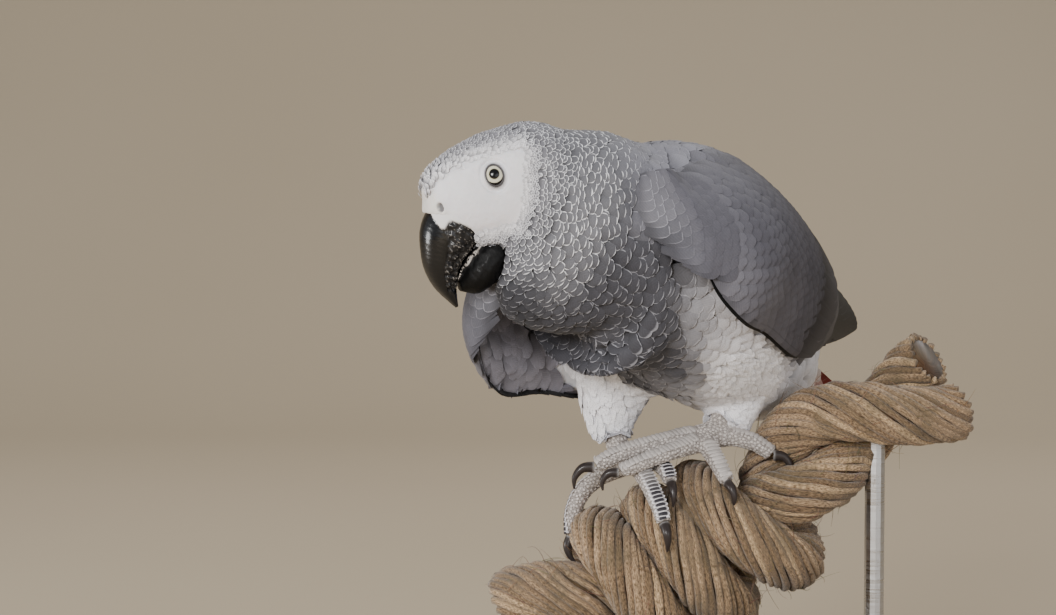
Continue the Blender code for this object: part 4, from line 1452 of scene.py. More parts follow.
def yarn_material():
    s = Shading("rope_fibre", Roughness=0.85, Specular_IOR_Level=0.15, Sheen_Weight=0.25)
    across, along = s.uv("Fibre")
    strand = s.noise(1.6, 2.5, 0.6, vector=s.drawn_out(across, 14.0, along, 60.0))
    dirt = s.noise(70.0, 4.0, 0.6)
    colour = s.mix(s.range(strand, 0.3, 0.7), shade(98, 80, 62), shade(212, 188, 158))
    colour = s.mix(1.0, colour, s.attribute("base"), "MULTIPLY")
    colour = s.mix(s.range(dirt, 0.42, 0.68, 0.0, 0.55), colour, shade(92, 82, 62))
    s.colour(colour)
    s.bump(strand, 0.8, 0.5 * MM)
    return s.material


YARNS = 19
YARN_RADIUS = 1.6 * MM
YARN_LAY = 88 * MM
PLY_LAY = 7.5 * MM
ROPE_STEP = 2.2 * MM
FRAYS = 3.2  # for each step along a rope


def yarn_piece(name, parts, surface, *nodes):
    points, faces, uv, tints = joined(parts)
    made = mesh_piece(name, points, faces, surface, "rope_tan", *nodes)
    give_map(made, "Fibre", uv)
    give_colour(made, "base", tints)


def make_rope(name, node, route, surface):
    """Yarns laid round a rope's centre line, over a filled middle."""
    path = evenly(route, ROPE_STEP)
    _, side, up = carried_frames(path, (0.2, 0.1, 1.0))
    run = np.arange(len(path)) * ROPE_STEP
    filled = swept(path[::2], np.full(len(path[::2]), ROPE_RADIUS * 0.80), 12)
    # painted shade: the filled middle is far darker than the yarns, for the gaps between them
    parts = [(*filled, np.tile(shade(120, 100, 84), (len(filled[0]), 1)))]
    for number in range(YARNS):
        wander = 0.05 * np.sin(run / (31 * MM) + number * 1.7) + 0.04 * np.sin(run / (13 * MM) + number)
        angle = math.tau * number / YARNS + math.tau * run / YARN_LAY + wander
        sag = 1 + 0.035 * np.sin(run / (17 * MM) + number * 2.3) + 0.02 * math.sin(number * 5.1)
        reach = (ROPE_RADIUS - YARN_RADIUS) * sag
        centre = path + side * (reach * np.cos(angle))[:, None] + up * (reach * np.sin(angle))[:, None]
        size = YARN_RADIUS * (1 + 0.08 * np.sin(run / (9 * MM) + number * 3.1))

        def plied(i, a, number=number):
            turn = a[None] * 2 + (run[i] / PLY_LAY * math.tau / 2)[:, None] + number
            return 1 + 0.13 * np.cos(turn) + 0.05 * np.cos(a[None] * 5 - turn)

        points, faces, uv = swept(centre, size, 10, plied)
        tint = shade(*(np.array((222, 212, 200)) + RANDOM.uniform(-46, 24)))
        if RANDOM.random() < 0.2:
            tint = shade(238, 230, 216) * 1.25
        uv = uv * (1, run[-1] / YARN_LAY) + (number * 0.37, number * 1.3)
        parts.append((points, faces, uv, np.tile(tint, (len(points), 1))))
    yarn_piece(name, parts, surface, node)
    return path, side, up


def make_frays(routes, surface):
    """Loose fibres that stand off the ropes."""
    parts = []
    for path, side, up in routes:
        for _ in range(int(len(path) * FRAYS)):
            i = int(RANDOM.integers(2, len(path) - 3))
            angle = RANDOM.uniform(0, math.tau)
            out = side[i] * math.cos(angle) + up[i] * math.sin(angle)
            ahead = unit(path[i + 1] - path[i])
            lay = unit(ahead * RANDOM.choice((-1, 1)) + np.cross(out, ahead) * RANDOM.normal(0.6, 0.5))
            length = RANDOM.uniform(4, 15) * MM
            start = path[i] + out * (ROPE_RADIUS - 0.6 * MM)
            t = np.linspace(0, 1, 6)[:, None]
            curl = RANDOM.normal(0, 0.25, 3)
            rise = RANDOM.uniform(0.02, 0.34)
            line = start + lay * length * t + out * length * rise * np.sin(t * 2.2) + curl * length * t * t
            width = RANDOM.uniform(0.10, 0.2) * MM
            points, faces, uv = swept(line, width * (1 - 0.75 * t[:, 0]), 3)
            tint = shade(*RANDOM.uniform((176, 150, 116), (240, 222, 186)))
            parts.append((points, faces, uv, np.tile(tint, (len(points), 1))))
    yarn_piece("rope_frays", parts, surface)


# ---- wings ----
WING_LEAN = 7
WING_ROWS = [
    (-64, 22, -8, 10, 6, 6),
    (-57, 26, -9, 24, 11, 12),
    (-40, 30, -9, 33, 17, 18),
    (-15, 29, -4.5, 37, 21, 20),
    (20, 27, -6.5, 37, 21, 19),
    (55, 22, -7.5, 29, 18, 14),
    (90, 16, -4.5, 21, 13, 9),
    (122, 11, -1, 15, 9, 5),
    (146, 8, 1, 9, 5, 3),
    (160, 6, 1, 4, 2, 1.6),
]
WING_TABLE = smooth_rows(WING_ROWS, 200)


def wing_at(y, column):
    return np.interp(y, WING_TABLE[:, 0], WING_TABLE[:, column])


def wing_shell(y, share):
    """The wing's outer face in its own frame, at y and a share of the chord from -1 to 1."""
    share = np.clip(share, -1.0, 1.0)
    z = wing_at(y, 2) + wing_at(y, 3) * share
    x = wing_at(y, 1) + wing_at(y, 4) * (1 - share * share) - WING_LEAN * share
    return np.stack(np.broadcast_arrays(x, y, z), axis=-1)


QUILL_START = 84
SHOULDER_LEVELS = np.linspace(-30, 14, 23)
COVERT_VANE = vane_template(7, 10, 0.5, 0.68)
FLIGHT_VANE = vane_template(9, 18, 0.6, 0.7)


def quill_shell(y, share):
    """The wing's outer face, run on past the wrist for the folded quills."""
    beyond = np.maximum(y - QUILL_START, 0)
    face = wing_shell(np.minimum(y, QUILL_START), share)
    centre = wing_at(QUILL_START, 2)
    narrow = 1 - 0.006 * beyond
    x = face[..., 0] - 0.16 * beyond
    z = centre + (face[..., 2] - centre) * narrow + 0.10 * beyond
    return np.stack([x, face[..., 1] + beyond, z], axis=-1)


def in_wing(side, points):
    """World points as millimetres in a wing's own frame, with +X outwards on either side."""
    return local(WING_FRAMES[side], points) * (SIDES[side], 1, 1)


def from_wing(side, points):
    """Millimetres in a wing's own frame as world points."""
    return world(WING_FRAMES[side], points * (SIDES[side], 1, 1))


def wing_grids(side, grids):
    """Vanes' points from a wing's own frame, their columns ordered so that they face outwards."""
    return from_wing(side, np.array(grids))[:, :, :: -SIDES[side]]


def wing_place(place):
    """y, chord share and inner side (0 to 1) of points in a wing's own frame."""
    x, y, z = place.T
    share = (z - wing_at(y, 2)) / np.maximum(wing_at(y, 3), 1.0)
    outer = wing_shell(y, share)[:, 0]
    depth = wing_at(y, 5) * (1 - np.clip(share, -1, 1) ** 4)
    return y, share, ramp(x, outer - 0.3 * depth, outer - 0.7 * depth)


WingRow = namedtuple("WingRow", "root tip half lift own rim rim_width bend drop", defaults=(0.5, 1.0, 0.0))


def wing_vanes(name, side, rows, surface, template):
    """Long feathers that follow one wing's outer face.

    Each row gives the y and chord share of root and tip, half width, lift at root and
    tip in mm, own colour, rim colour, rim width, bend, and a drop below the face.
    """
    across, along, width = template
    middle = len(across) // 2
    grids = []
    for row in rows:
        y = row.root[0] + (row.tip[0] - row.root[0]) * along
        share = row.root[1] + (row.tip[1] - row.root[1]) * along**row.bend
        length = row.tip[0] - row.root[0]
        y = y[:, None] - length * 0.05 * (along**8)[:, None] * across**2
        reach = row.half * width / (wing_at(np.minimum(y[:, middle], QUILL_START), 3) * 1.12)
        share = share[:, None] + across * reach[:, None]
        face = quill_shell(y, share)
        fore = quill_shell(y + 1.5, share) - quill_shell(y - 1.5, share)
        inside = np.clip(share, -0.96, 0.96)
        over = quill_shell(y, inside + 0.04) - quill_shell(y, inside - 0.04)
        normal = unit(np.cross(fore, over))
        normal *= np.sign(normal[..., :1])
        lift = row.lift[0] + (row.lift[1] - row.lift[0]) * along
        lift = lift[:, None] + 0.25 * (1 - across**2) - 0.25 * (across > 0) * across
        grids.append(face + normal * lift[..., None] + np.array((-0.6, 0, -1.0)) * row.drop)
    grids = np.array(grids)
    tint = RANDOM.normal(1, 0.035, (len(rows), 1))
    roots = np.array([row.root for row in rows], float)
    make = vane_set(
        template, len(rows), patch=0.012, length=norm(np.diff(grids[:, :, middle], axis=1)).sum(axis=1),
        half_width=[row.half for row in rows], rim_width=[row.rim_width for row in rows],
        own=np.array([row.own for row in rows]) * tint, rim=np.array([row.rim for row in rows]) * tint,
        unwrap=(roots + (70, 1.1)) / (240, 2.2),
    )
    vane_piece(name, wing_grids(side, grids), make, surface, "wing_grey")


def wing_tone(y, share):
    """The folded wing's colour: lilac grey in front, slate behind, with painted light that lightens the lower
    part of the chord and, a little, the upper front.
    """
    level = np.interp(y, [-64, -57, -48, -32, -10, 30, 60, 100], [112, 100, 88, 84, 76, 54, 28, 14])
    # painted light: the lower part of the chord is made lighter against its shade, and the upper front a
    # little lighter
    level = level + 6 * ramp(share, 0.3, 0.9) * ramp(y, -10, -50) + 12 * ramp(share, -0.2, -0.8)
    level = level + 3 * np.sin(0.31 * y + 2.6 * share)
    return shade(level, level - 1.5, level + 6)


def covert_rows():
    """Small smooth coverts in rows from the wing's bend back to the greater coverts."""
    rows = []
    for step in range(21):
        y = -62 + 3.6 * step
        end = y + 11
        count = max(int(1.9 * wing_at(y + 7, 3) / 4.8), 3)
        for k in range(count):
            share = -0.92 + 1.86 * (k + 0.5 * (step % 2) + RANDOM.uniform(-0.15, 0.15)) / (count - 0.5)
            level = wing_at(y + 5, 2) + share * wing_at(y + 5, 3)
            start, tip = (
                share + ((level - wing_at(place, 2)) / wing_at(place, 3) - share) * 0.8 for place in (y, end)
            )
            own = wing_tone(y + 7, share)
            lift = (-1.2, 0.15 + RANDOM.uniform(0, 0.1))
            half = 3.8 * RANDOM.uniform(0.9, 1.1)
            root = (y, np.clip(start, -0.95, 0.95))
            rows.append(WingRow(root, (end, tip), half, lift, own, own * 1.1, 0.4))
    return rows


def shoulder_paths(form, side):
    """A smooth sheet from the trunk over the wing's bend: its length so far, points and normals."""

    def column(x, y):
        return np.stack(np.broadcast_arrays(x, y, SHOULDER_LEVELS), axis=1)

    share = np.clip((SHOULDER_LEVELS + 8) / 18, -1, 1)
    trunk = (column(7.0, -80.0), column(10.5, -72.5))
    lines = [in_wing(side, laid_on(form, from_wing(side, line))[0]) for line in trunk]
    lines.append(column(28 - 5 * share * share - 5 * share, -67.0))
    for y, out in ((-60, 1.2), (-52, 0.6), (-42, 0.3), (-34, 0.1)):
        part = np.clip((SHOULDER_LEVELS - wing_at(y, 2)) / wing_at(y, 3), -1, 1)
        lines.append(column(wing_shell(y, part)[:, 0] + out, float(y)))
    count = len(SHOULDER_LEVELS)
    paths = smooth_rows(np.stack(lines).reshape(len(lines), -1), 60).reshape(-1, count, 3)
    for _ in range(12):
        paths[1:-1] = 0.5 * paths[1:-1] + 0.25 * (paths[:-2] + paths[2:])
        paths[:, 1:-1] = 0.5 * paths[:, 1:-1] + 0.25 * (paths[:, :-2] + paths[:, 2:])
    run = running(norm(np.diff(paths, axis=0)).mean(axis=1))
    facing = unit(np.cross(np.gradient(paths, axis=0), np.gradient(paths, axis=1)))
    return run, paths, facing * np.sign(facing[..., :1] + 0.2)


def shoulder_vanes(form, side, surface):
    """Rows of small feathers from the trunk over the wing's bend, where the two meet."""
    run, paths, facing = shoulder_paths(form, side)
    across, along, width = COVERT_VANE
    length, half = 11.5, 3.7
    lift = -0.9 + 1.15 * (1 - (1 - along) ** 1.6)
    rise = (lift[:, None] + 0.25 * (0.3 - across**2) - 0.2 * across)[..., None]
    grids, own, rims, starts = [], [], [], []
    for k in range(9):
        for j in range(9):
            start = 1.0 + 3.6 * k + RANDOM.uniform(-0.5, 0.5)
            level = -26 + 4.4 * (j + 0.5 * (k % 2)) + RANDOM.uniform(-0.5, 0.5)
            if level < -8 - 4 * k:
                continue
            s = np.clip(np.interp(start + length * along[:, None] + 0 * across, run, range(60)), 0, 58.999)
            z = np.clip((level + across * width[:, None] * half + 30) / 2, 0, 21.999)
            i, j_low = s.astype(int), z.astype(int)
            u, v = (s - i)[..., None], (z - j_low)[..., None]
            spot, out = (
                (table[i, j_low] * (1 - u) + table[i + 1, j_low] * u) * (1 - v)
                + (table[i, j_low + 1] * (1 - u) + table[i + 1, j_low + 1] * u) * v
                for table in (paths, facing)
            )
            grids.append(spot + out * rise)
            front = blend(BREAST_GREY * 1.2, BACK_GREY * 0.72, ramp(level, -16, -2))
            own.append(blend(front, wing_tone(-50, 0.0), ramp(k, 1, 5)))
            rims.append(blend(BACK_RIM * 1.1, own[-1] * 1.12, ramp(k, 0, 4)))
            starts.append((start / 60 + 0.2, (level + 40) / 80))
    count = len(grids)
    own = np.array(own) * RANDOM.normal(1, 0.03, (count, 1))
    make = vane_set(
        COVERT_VANE, count, length=length, half_width=half, own=own, rim=rims, rim_width=0.4, unwrap=starts
    )
    vane_piece(f"wing_{side}_shoulder", wing_grids(side, grids), make, surface, "wing_grey")


def flight_rows():
    """Primaries, secondaries and greater coverts, each layer over the one before."""
    rows = []
    slate = blend(WING_SLATE, QUILL_DARK, 0.45)
    for k in range(9):  # primaries, the longest and lowest first
        share = k / 8
        tip_y = 152 - 56 * share**1.15
        root, tip = (34 + 2 * k, -0.86 + 0.10 * k), (tip_y, -0.62 + 0.98 * share)
        own = blend(slate, QUILL_DARK, 0.9)
        rim = blend(QUILL_DARK, WING_SLATE, 0.45)
        rows.append(WingRow(root, tip, 7.0, (-1.2, -0.2 + 0.12 * k), own, rim, 0.7, 1.3))
    for k in range(12):  # secondaries, from the lowest up
        share = k / 11
        own = blend(slate, WING_SLATE, 0.6)
        root = (20, -0.84 + 1.5 * share)
        tip = (84 - 14 * share + 4 * math.sin(k * 1.9), -0.90 + 1.5 * share)
        lift = (-0.6, 0.9 + 0.08 * k)
        rows.append(WingRow(root, tip, 7.4, lift, own, blend(own, COVERT_LILAC, 0.3), 0.6))
    for k in range(13):  # greater coverts
        share = k / 12
        own = wing_tone(44, -0.8 + 1.6 * share)
        root = (6, -0.92 + 1.84 * share)
        tip = (54 - 6 * share + 2 * math.sin(k * 2.3), -0.96 + 1.88 * share)
        lift = (-0.9, 1.6 + 0.05 * k)
        rows.append(WingRow(root, tip, 6.6, lift, own, blend(own, COVERT_LILAC, 0.3), 0.6))
    for k in range(13):  # a neat run of coverts along the lower edge
        y = -48 + 8 * k
        own = wing_tone(y + 14, -0.8)
        rows.append(WingRow((y, -0.93), (y + 25, -0.95), 4.6, (-1.0, 0.35), own, own * 1.13, 0.5))
    for k in range(13):  # painted shadow along the lower edge: near-black vanes, half under the wing, for the shaded gap to the breast
        y = -62 + 12 * k
        own = QUILL_DARK * 0.35
        rows.append(WingRow((y, -1), (y + 26, -1), 2.2, (-1.6, -1.2), own, own, 0.3, 1.0, 1.1))
    return rows


def wing_coat(form, side, surface):
    """Small smooth coverts on one wing's inner side, in rows from its bend backwards."""
    y, share, inner = wing_place(in_wing(side, form.points))
    reach = np.where(inner > 0.5, 120, 34)
    mask = form.wings[side] & (y < reach) & (inner > 0.4) & (share > -0.9) & (share < 1.02)
    roots = contour_roots(form, form.rows * 0.9, mask, form.pitch * 1.7 * MM, 0.2)
    style = coat_style(
        form, COVERT_VANE, 0.07, 0.0, pitch=form.pitch * MM, length=3.8, width=2.5, lift=0.0, loose=-0.25,
        rim_width=0.5, depth=0.9 * MM, home=form.wings[side] | form.shoulder,
    )
    name = f"wing_{side}"
    coat(form, name + "_coverts", roots, style, surface, "wing_grey", name, paint=wing_markings(side))


# ---- tail ----
TAIL_VANE = vane_template(9, 18, 1.6)


def tail_fan(name, rows, ragged, surface, slot, *nodes):
    """A fan of vanes, from the spine, normal, half width, twist and colours of each."""
    spines, normals, half_width, twist, own, rim = (np.array(part, float) for part in zip(*rows))
    count = len(rows)
    tint = RANDOM.normal(1, 0.05, (count, 1))
    make = vane_set(
        TAIL_VANE, count, ragged, (0.6 / count, 0.8), length=norm(np.diff(spines, axis=1)).sum(axis=1),
        half_width=half_width, dome=0.10, twist=twist, own=own * tint, rim=rim * tint, rim_width=0.8,
        unwrap=np.stack([np.linspace(0.05, 0.95, count), np.full(count, 0.5)], axis=1),
    )
    normals = np.broadcast_to((unit(normals) @ axes(BODY).T)[:, None], spines.shape)
    vane_piece(name, domed(world(BODY, spines), normals, make), make, surface, slot, *nodes)


def make_tail(surface, vent_surface):
    """Twelve short red feathers, pale coverts under them and grey ones over their base."""
    along = TAIL_VANE[1]
    rows = []
    for share in np.linspace(-1, 1, 12):
        x = share * (7 + 10.5 * along)
        y = 62 + (100 - 5 * share * share) * along
        z = -7.6 - 8.5 * ramp(along, 0, 1) - 5 * (x / 22) ** 2 + 1.3 * (1 - abs(share))
        spine = np.stack([x, y, z], axis=1)
        rows.append((spine, (0.25 * share, 0.08, 1.0), 6.6, 0.12 * share, TAIL_RED, TAIL_RIM))
    tail_fan("tail_feathers", rows, 0.03, surface, "tail_red", "tail")
    rows = []
    vent_layers = ((58, 58, 0.0), (52, 50, 1.2), (46, 42, 2.6), (40, 34, 4.2))
    for layer, (start, length, drop) in enumerate(vent_layers):
        for k, share in enumerate(np.linspace(-1, 1, 5 + layer)):
            x = share * (8 + 1.5 * layer + 3.5 * along)
            y = start + length * along * (1 - 0.08 * share * share)
            z = -18.5 - 0.9 * drop + 3.0 * along - 0.0324 * (y - 96) + 2.4 * abs(share)
            tone = blend(VENT_PALE, VENT_PINK, 0.35 + 0.25 * math.sin(k * 2 + layer))
            rows.append((np.stack([x, y, z], axis=1), (0.5 * share, 0.0, -1.0), 5.2, 0.0, tone, VENT_PALE))
    tail_fan("undertail_coverts", rows, 0.12, vent_surface, "feather_grey")
    rows = []
    tone = blend(RUMP_PALE, BACK_GREY, 0.3)
    for layer, (start, length) in enumerate(((58, 40), (52, 32), (48, 24))):
        for share in np.linspace(-1, 1, 5 + layer):
            x = share * (8 + 2.0 * layer + 3.0 * along)
            y = start + length * along * (1 - 0.08 * share * share)
            z = 2.0 + 2.2 * layer - 7.5 * along - 4.0 * share * share
            rows.append((np.stack([x, y, z], axis=1), (0.4 * share, 0.1, 1.0), 5.6, 0.0, tone, BELLY_RIM))
    tail_fan("uppertail_coverts", rows, 0.12, vent_surface, "feather_grey")


# ---- stand, floor, light and camera ----
def dress_stand():
    """Better finishes on the stand's own solids."""
    wood = Shading("stand_lacquer", Roughness=0.32, Specular_IOR_Level=0.5, Coat_Weight=0.4)
    grain = wood.noise(38.0, 5.0, 0.6, stretch=(0.12, 1.0, 1.0))
    pores = wood.noise(420.0, 3.0, 0.7, stretch=(0.06, 1.0, 1.0))
    colour = wood.mix(grain, shade(20, 19, 19), shade(44, 41, 39))
    wood.colour(colour)
    wood.bump(wood.times_plus(pores, 0.5, grain), 0.12, 0.3 * MM)
    steel = Shading("rod_steel", Metallic=1.0, Specular_IOR_Level=0.5)
    brushed = steel.noise(1300.0, 3.0, 0.6, stretch=(0.04, 0.04, 1.0))
    steel.colour(steel.mix(brushed, (0.42, 0.42, 0.43), (0.62, 0.62, 0.63)))
    steel.link(steel.range(brushed, 0.3, 0.7, 0.24, 0.42), "Roughness")
    steel.bump(brushed, 0.1, 0.05 * MM)
    for name, surface in (("stand_base", wood), ("stand_rod_1", steel), ("stand_rod_2", steel)):
        materials = frame["nodes"][name].data.materials
        materials.clear()
        materials.append(surface.material)


CAMERA_TURN = 30
CAMERA_RISE = 4
CAMERA_FAR = 1170 * MM
CAMERA_TARGET = Vector((-56, -33, 187)) * MM
LIGHT_TARGET = Vector((0, 0, 0.18))
LIGHTS = (  # name, turn, rise, distance, size, watts, colour
    ("key", 8, 16, 1.6, 0.5, 23, (1.0, 0.985, 0.965)),
    ("fill", 62, 0, 1.6, 1.4, 9, (0.96, 0.98, 1.0)),
    ("glint", -56, -1, 1.4, 0.5, 9, (1.0, 1.0, 1.0)),
    ("back", 185, 58, 1.6, 1.2, 12, (1.0, 1.0, 1.0)),
)


def make_backdrop():
    """A pale sweep: floor, curve and wall in one sheet."""
    s = Shading("backdrop", Roughness=0.9, Specular_IOR_Level=0.1)
    s.colour(s.mix(s.noise(1.5, 2.0), shade(186, 170, 146), shade(196, 181, 158)))
    turn = math.radians(CAMERA_TURN)
    toward = Vector((-math.sin(turn), math.cos(turn), 0))
    across = Vector((math.cos(turn), math.sin(turn), 0))
    curve = [(1.2 + math.sin(a), 1.0 - math.cos(a)) for a in np.linspace(0.08, math.pi / 2, 16)]
    profile = [(-3.2, 0.0), (1.2, 0.0), *curve, (2.2, 4.0)]
    points = [toward * y + Vector((0, 0, z - 0.0002)) + across * x for y, z in profile for x in (-4.5, 4.5)]
    faces = [(2 * i, 2 * i + 1, 2 * i + 3, 2 * i + 2) for i in range(len(profile) - 1)]
    mesh = bpy.data.meshes.new("backdrop")
    mesh.from_pydata(points, [], faces)
    mesh.materials.append(s.material)
    mesh.shade_smooth()
    placed("backdrop", mesh)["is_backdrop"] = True


def aimed(name, data, target, turn, rise, far):
    """A camera or light that looks at a point, from a turn and a rise in degrees."""
    a, e = math.radians(turn), math.radians(rise)
    back = Vector((math.sin(a) * math.cos(e), -math.cos(a) * math.cos(e), math.sin(e)))
    made = placed(name, data)
    made.location = target + back * far
    made.rotation_mode = "QUATERNION"
    made.rotation_quaternion = back.to_track_quat("Z", "Y")
    return made


def make_camera():
    data = bpy.data.cameras.new("camera")
    data.lens, data.sensor_width = 100, 36
    data.clip_start, data.clip_end = 0.05, 30
    camera = aimed("camera", data, CAMERA_TARGET, CAMERA_TURN, CAMERA_RISE, CAMERA_FAR)
    bpy.context.scene.camera = camera


def make_lights():
    """A soft key from in front, a fill and a glint from the sides, and a light from behind."""
    for name, turn, rise, far, size, power, colour in LIGHTS:
        data = bpy.data.lights.new(name, "AREA")
        data.shape, data.size, data.energy, data.color = "DISK", size, power, colour
        aimed(name, data, LIGHT_TARGET, turn, rise, far)
    air = bpy.data.worlds.new("air")
    air.use_nodes = True
    air.node_tree.nodes["Background"].inputs[0].default_value = (0.95, 0.97, 1.0, 1)
    air.node_tree.nodes["Background"].inputs[1].default_value = 0.42
    bpy.context.scene.world = air


# ---- putting it together ----
BILL_BASE = np.array((0, -25, -8))  # in the head's frame
SKIN_ROWS = 0.35 / 1.7  # rows to a millimetre over bare skin


def bird_form():
    """The outline with its creases eased, and which of its vertices are on or by the wings."""
    form = grown_form()
    body, low = local(BODY, form.points), local(PERCH, form.points)[:, 2]
    from_face = norm(local(HEAD, form.points) - FACE_MIDDLE)
    off_flesh = reach_to(surface_tree(FLESH), form.points)
    near_wing, gap, shoulder = np.zeros((3, len(form.points)), bool)
    wings, crease = {}, np.zeros(len(form.points))
    for side in SIDES:
        off_wing = reach_to(surface_tree([f"wing_{side}"]), form.points)
        wings[side] = off_wing < off_flesh
        place = in_wing(side, form.points)
        y, z = place[:, 1:].T
        gap |= (np.abs(place - (17, -57, -9)) < (9, 9, 13)).all(axis=1)
        shoulder |= (y < -44) | ((z > 6) & (y < 40))
        high = np.maximum(ramp(z, -18, -8) * ramp(y, -34, -46), ramp(z, -36, -26) * ramp(y, -53, -59))
        crease = np.maximum(crease, high * ramp(np.maximum(off_wing, off_flesh), 12 * MM, 7 * MM))
        near_wing |= (off_wing < 3.2 * MM) & (z < -12) & (y > -56) & ~wings[side]
    on_wing = wings["left"] | wings["right"]
    filled = ramp(from_face, 50, 62) * ramp(low, 52, 66) * ~near_wing * ~on_wing
    filled = np.maximum(filled * ramp(body[:, 1], 40, 20) * ramp(body[:, 2], -8, -18), crease)
    form = settled_form(form, eased_over(form, crease, 4), eased_over(form, filled, 6))
    form.wings, form.on_wing, form.shoulder, form.covered = wings, on_wing, shoulder, near_wing | gap
    return form


def measure(form):
    """Where each vertex is on the bird, and how deep the skin lies under it."""
    form.head, form.body = local(HEAD, form.points), local(BODY, form.points)
    form.low = local(PERCH, form.points)[:, 2]
    form.from_face = norm(form.head - FACE_MIDDLE)
    form.bare = face_depth(form.head)
    form.in_face = (form.bare > 2.6) & (form.head[:, 1] < 20) & (norm(form.head) < 40)
    form.thighs = leg_share(form.points)
    depth = np.interp(form.from_face, [18, 24, 34, 50, 80], [0.35, 0.9, 1.7, 2.6, 3.2])
    depth = np.where(form.on_wing, 0.9, np.where(form.in_face, 0.15, depth))
    form.depth = eased_over(form, depth * MM * np.interp(form.low, [46, 66], [0.35, 1.0]), 4)


def lay_rows(form):
    """The rows that feathers stand in from the bill back, the gap between them, and their lie."""
    form.pitch = np.interp(
        form.from_face, [18, 22, 27, 36, 46, 60, 90, 140, 220], [1.0, 1.2, 1.6, 2.2, 2.8, 3.4, 4.1, 5.0, 5.5]
    )
    density = np.where(form.in_face, SKIN_ROWS, 1 / form.pitch) / MM
    near = norm(form.head - BILL_BASE)
    sources = [(i, near[i] * SKIN_ROWS) for i in np.nonzero(near < 10)[0]]
    form.rows = eased_over(form, travel(form, near_links(form), density, sources), 14)
    backward = axes(HEAD)[:, 1]
    flat = unit(backward - form.normals * (form.normals @ backward)[:, None])
    on_crown = ramp(form.head[:, 2], 2, 9) * ramp(form.head[:, 1], 30, 12)
    form.lie = unit(eased_over(form, unit(blend(slope(form, form.rows), flat, on_crown)), 6))


def lay_unwrap(form):
    """A place on a flat unwrap for each vertex: round the bird, and on along its rows."""
    rows = form.rows
    middle = np.array([form.points[np.abs(rows - r) < 1.5].mean(axis=0) for r in range(1, int(rows.max()))])
    off = form.points - middle[np.clip(rows.astype(int) - 1, 0, len(middle) - 1)]
    toward_body = ramp(form.from_face, 35, 70)
    turns = blend(axes(HEAD), axes(BODY), toward_body[:, None])
    x, z = ((off * unit(turns[..., i])).sum(axis=1) for i in (0, 2))
    form.unwrap = np.stack([np.arctan2(x, z) / math.tau + 0.5, rows / rows.max()], axis=1) * 0.98 + 0.01


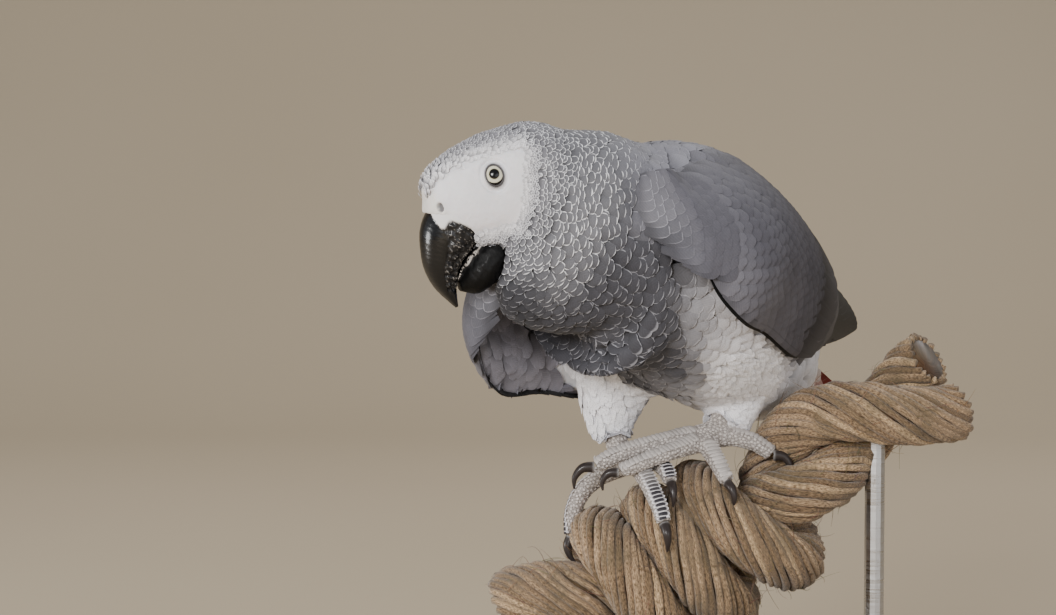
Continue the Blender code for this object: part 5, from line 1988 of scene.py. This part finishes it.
def body_coats(form, plumage, downy):
    """Every coat but the wings' and the tail's, from the crown back."""
    head, bare, from_face = form.head, form.bare, form.from_face
    shared = dict(depth=form.depth, home=~form.on_wing | form.shoulder)
    small, slim = vane_template(5, 7, 0.4, 0.66), vane_template(5, 9, 0.0, 0.5)
    wide = vane_template(7, 9, 0.6, 0.72)
    crown = (head[:, 2] > -4) & (head[:, 1] < 12) & (bare < 1.2) & (from_face < 45)
    crown &= (head[:, 2] > 9.5 + 0.12 * head[:, 1]) | (head[:, 1] < -8)
    crown_pitch = np.interp(head[:, 1], [-24, 0, 14], [1.15, 1.45, 1.85]) * MM
    crown_rows = (head[:, 1] + 26 + 0.02 * head[:, 0] ** 2) / 1.45
    roots = contour_roots(form, crown_rows, crown, crown_pitch * 1.25, 0.2)
    style = coat_style(
        form, small, 0.2, 0.1, pitch=crown_pitch, length=2.5, width=1.6, lift=0.10, loose=0.6,
        rim_width=0.3, **shared,
    )
    coat(form, "crown_feathers", roots, style, plumage, "head_white")

    edge, tall = (bare > -3.0) & (bare < 2.8) & (from_face < 40), from_face < 49
    under, leg = ~tall & (form.body[:, 2] < 12), form.thighs >= 0.4
    face_down = (small, 1.9, 0.9, 1.9, 1.25, 0.05, 0.5, 0.3, 0.1, downy, "head_white")
    cheek = (small, 1.15, 1.6, 2.8, 2.1, 0.12, 0.5, 0.3, 0.09, plumage, "head_white")
    neck = (wide, 1.3, 1.8, 3.1, 2.6, 0.1, 0.35, 0.38, 0.16, plumage, "feather_grey")
    breast = (wide, 1.3, 1.7, 3.1, 2.5, 0.1, 0.35, 0.46, 0.14, plumage, "feather_grey")
    thigh = (slim, 2.2, 0.62, 2.6, 1.0, 0.3, 0.9, 0.5, 0.12, downy, "feather_grey")
    back = (wide, 1.2, 1.8, 3.2, 2.6, 0.03, 0.1, 0.5, 0.08, plumage, "feather_grey")
    zones = (
        ("face_down", edge, face_down),
        ("cheek_feathers", (from_face < 30) & ~edge, cheek),
        ("neck_feathers", (from_face >= 30) & tall & ~edge, neck),
        ("breast_feathers", under & ~leg, breast),
        ("thigh_feathers", under & leg, thigh),
        ("back_feathers", ~tall & ~under, back),
    )
    hollow = sunk(form, form.points, 60) > 2.2 * MM
    hollow &= (from_face > 50) & (form.body[:, 2] < -10) & (form.thighs < 0.3)
    coated = ~hollow & (bare < 2.9) & ~crown & ~form.on_wing & ~form.covered & (form.low > 44)
    legs = np.maximum(form.thighs, ramp(form.body[:, 1], 30, 60) * ramp(form.body[:, 2], 0, -18))
    for name, where, (template, finer, gap, length, width, lift, loose, rim, dome, surface, slot) in zones:
        where = where.astype(float)
        mask = coated & (eased_over(form, where, 2) > 0.02)
        roots = contour_roots(form, form.rows * finer, mask, form.pitch * gap * MM, 0.22)
        style = coat_style(
            form, template, dome, 0.05, pitch=form.pitch * MM, length=length, width=width, lift=lift,
            loose=loose + 0.5 * legs, rim_width=rim, **shared,
        )
        coat(form, name, chosen(roots, roots.read(where) > 0.5), style, surface, slot)


def make_bill():
    glossy = horn_material("bill_gloss", 0.26, 0.35, 0.5, (2, 3, 5), (9, 10, 14))
    matte = horn_material("bill_matte", 0.55, 0.03, 0.75, (2, 2, 2), (7, 7, 8))
    bill_shell("bill_upper", UPPER_ROWS, 2.2, upper_relief, glossy)
    bill_shell("bill_lower", LOWER_ROWS, 2.4, lower_relief, matte)


def make_perch():
    fibre = yarn_material()
    nodes = (("rope_core", "perch_core"), ("rope_winding", "perch_knot"))
    laid = [make_rope(*names, route, fibre) for names, route in zip(nodes, rope_routes())]
    make_frays(laid, fibre)


def main():
    form = bird_form()
    measure(form)
    lay_rows(form)
    lay_unwrap(form)
    make_skin(form, skin_material())
    plumage = feather_material("contour_feathers", 0.6)
    downy = feather_material("downy_feathers", 0.75, 0.16, 0.8)
    body_coats(form, plumage, downy)
    for side in SIDES:
        wing_coat(form, side, plumage)
        wing_vanes(f"wing_{side}_flight", side, flight_rows(), plumage, FLIGHT_VANE)
        wing_vanes(f"wing_{side}_small_coverts", side, covert_rows(), plumage, COVERT_VANE)
        shoulder_vanes(form, side, plumage)
    make_tail(plumage, downy)
    eye_surface, lid_surface = eye_material(), lid_material()
    for side in SIDES:
        make_eye(side, eye_surface)
        make_lids(side, lid_surface)
    make_bill()
    make_claws(horn_material("claw_horn", 0.34, 0.15, 0.6, (24, 20, 20), (66, 58, 56)))
    toe_surface, scale_surface = toe_skin_material(), scale_material()
    for side in SIDES:
        make_foot(side, toe_surface, scale_surface)
    make_perch()
    dress_stand()
    make_backdrop()
    make_camera()
    make_lights()


main()
bpy.context.view_layer.update()
[[list(corner) for corner in box] for box in (CAD_BOX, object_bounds())]
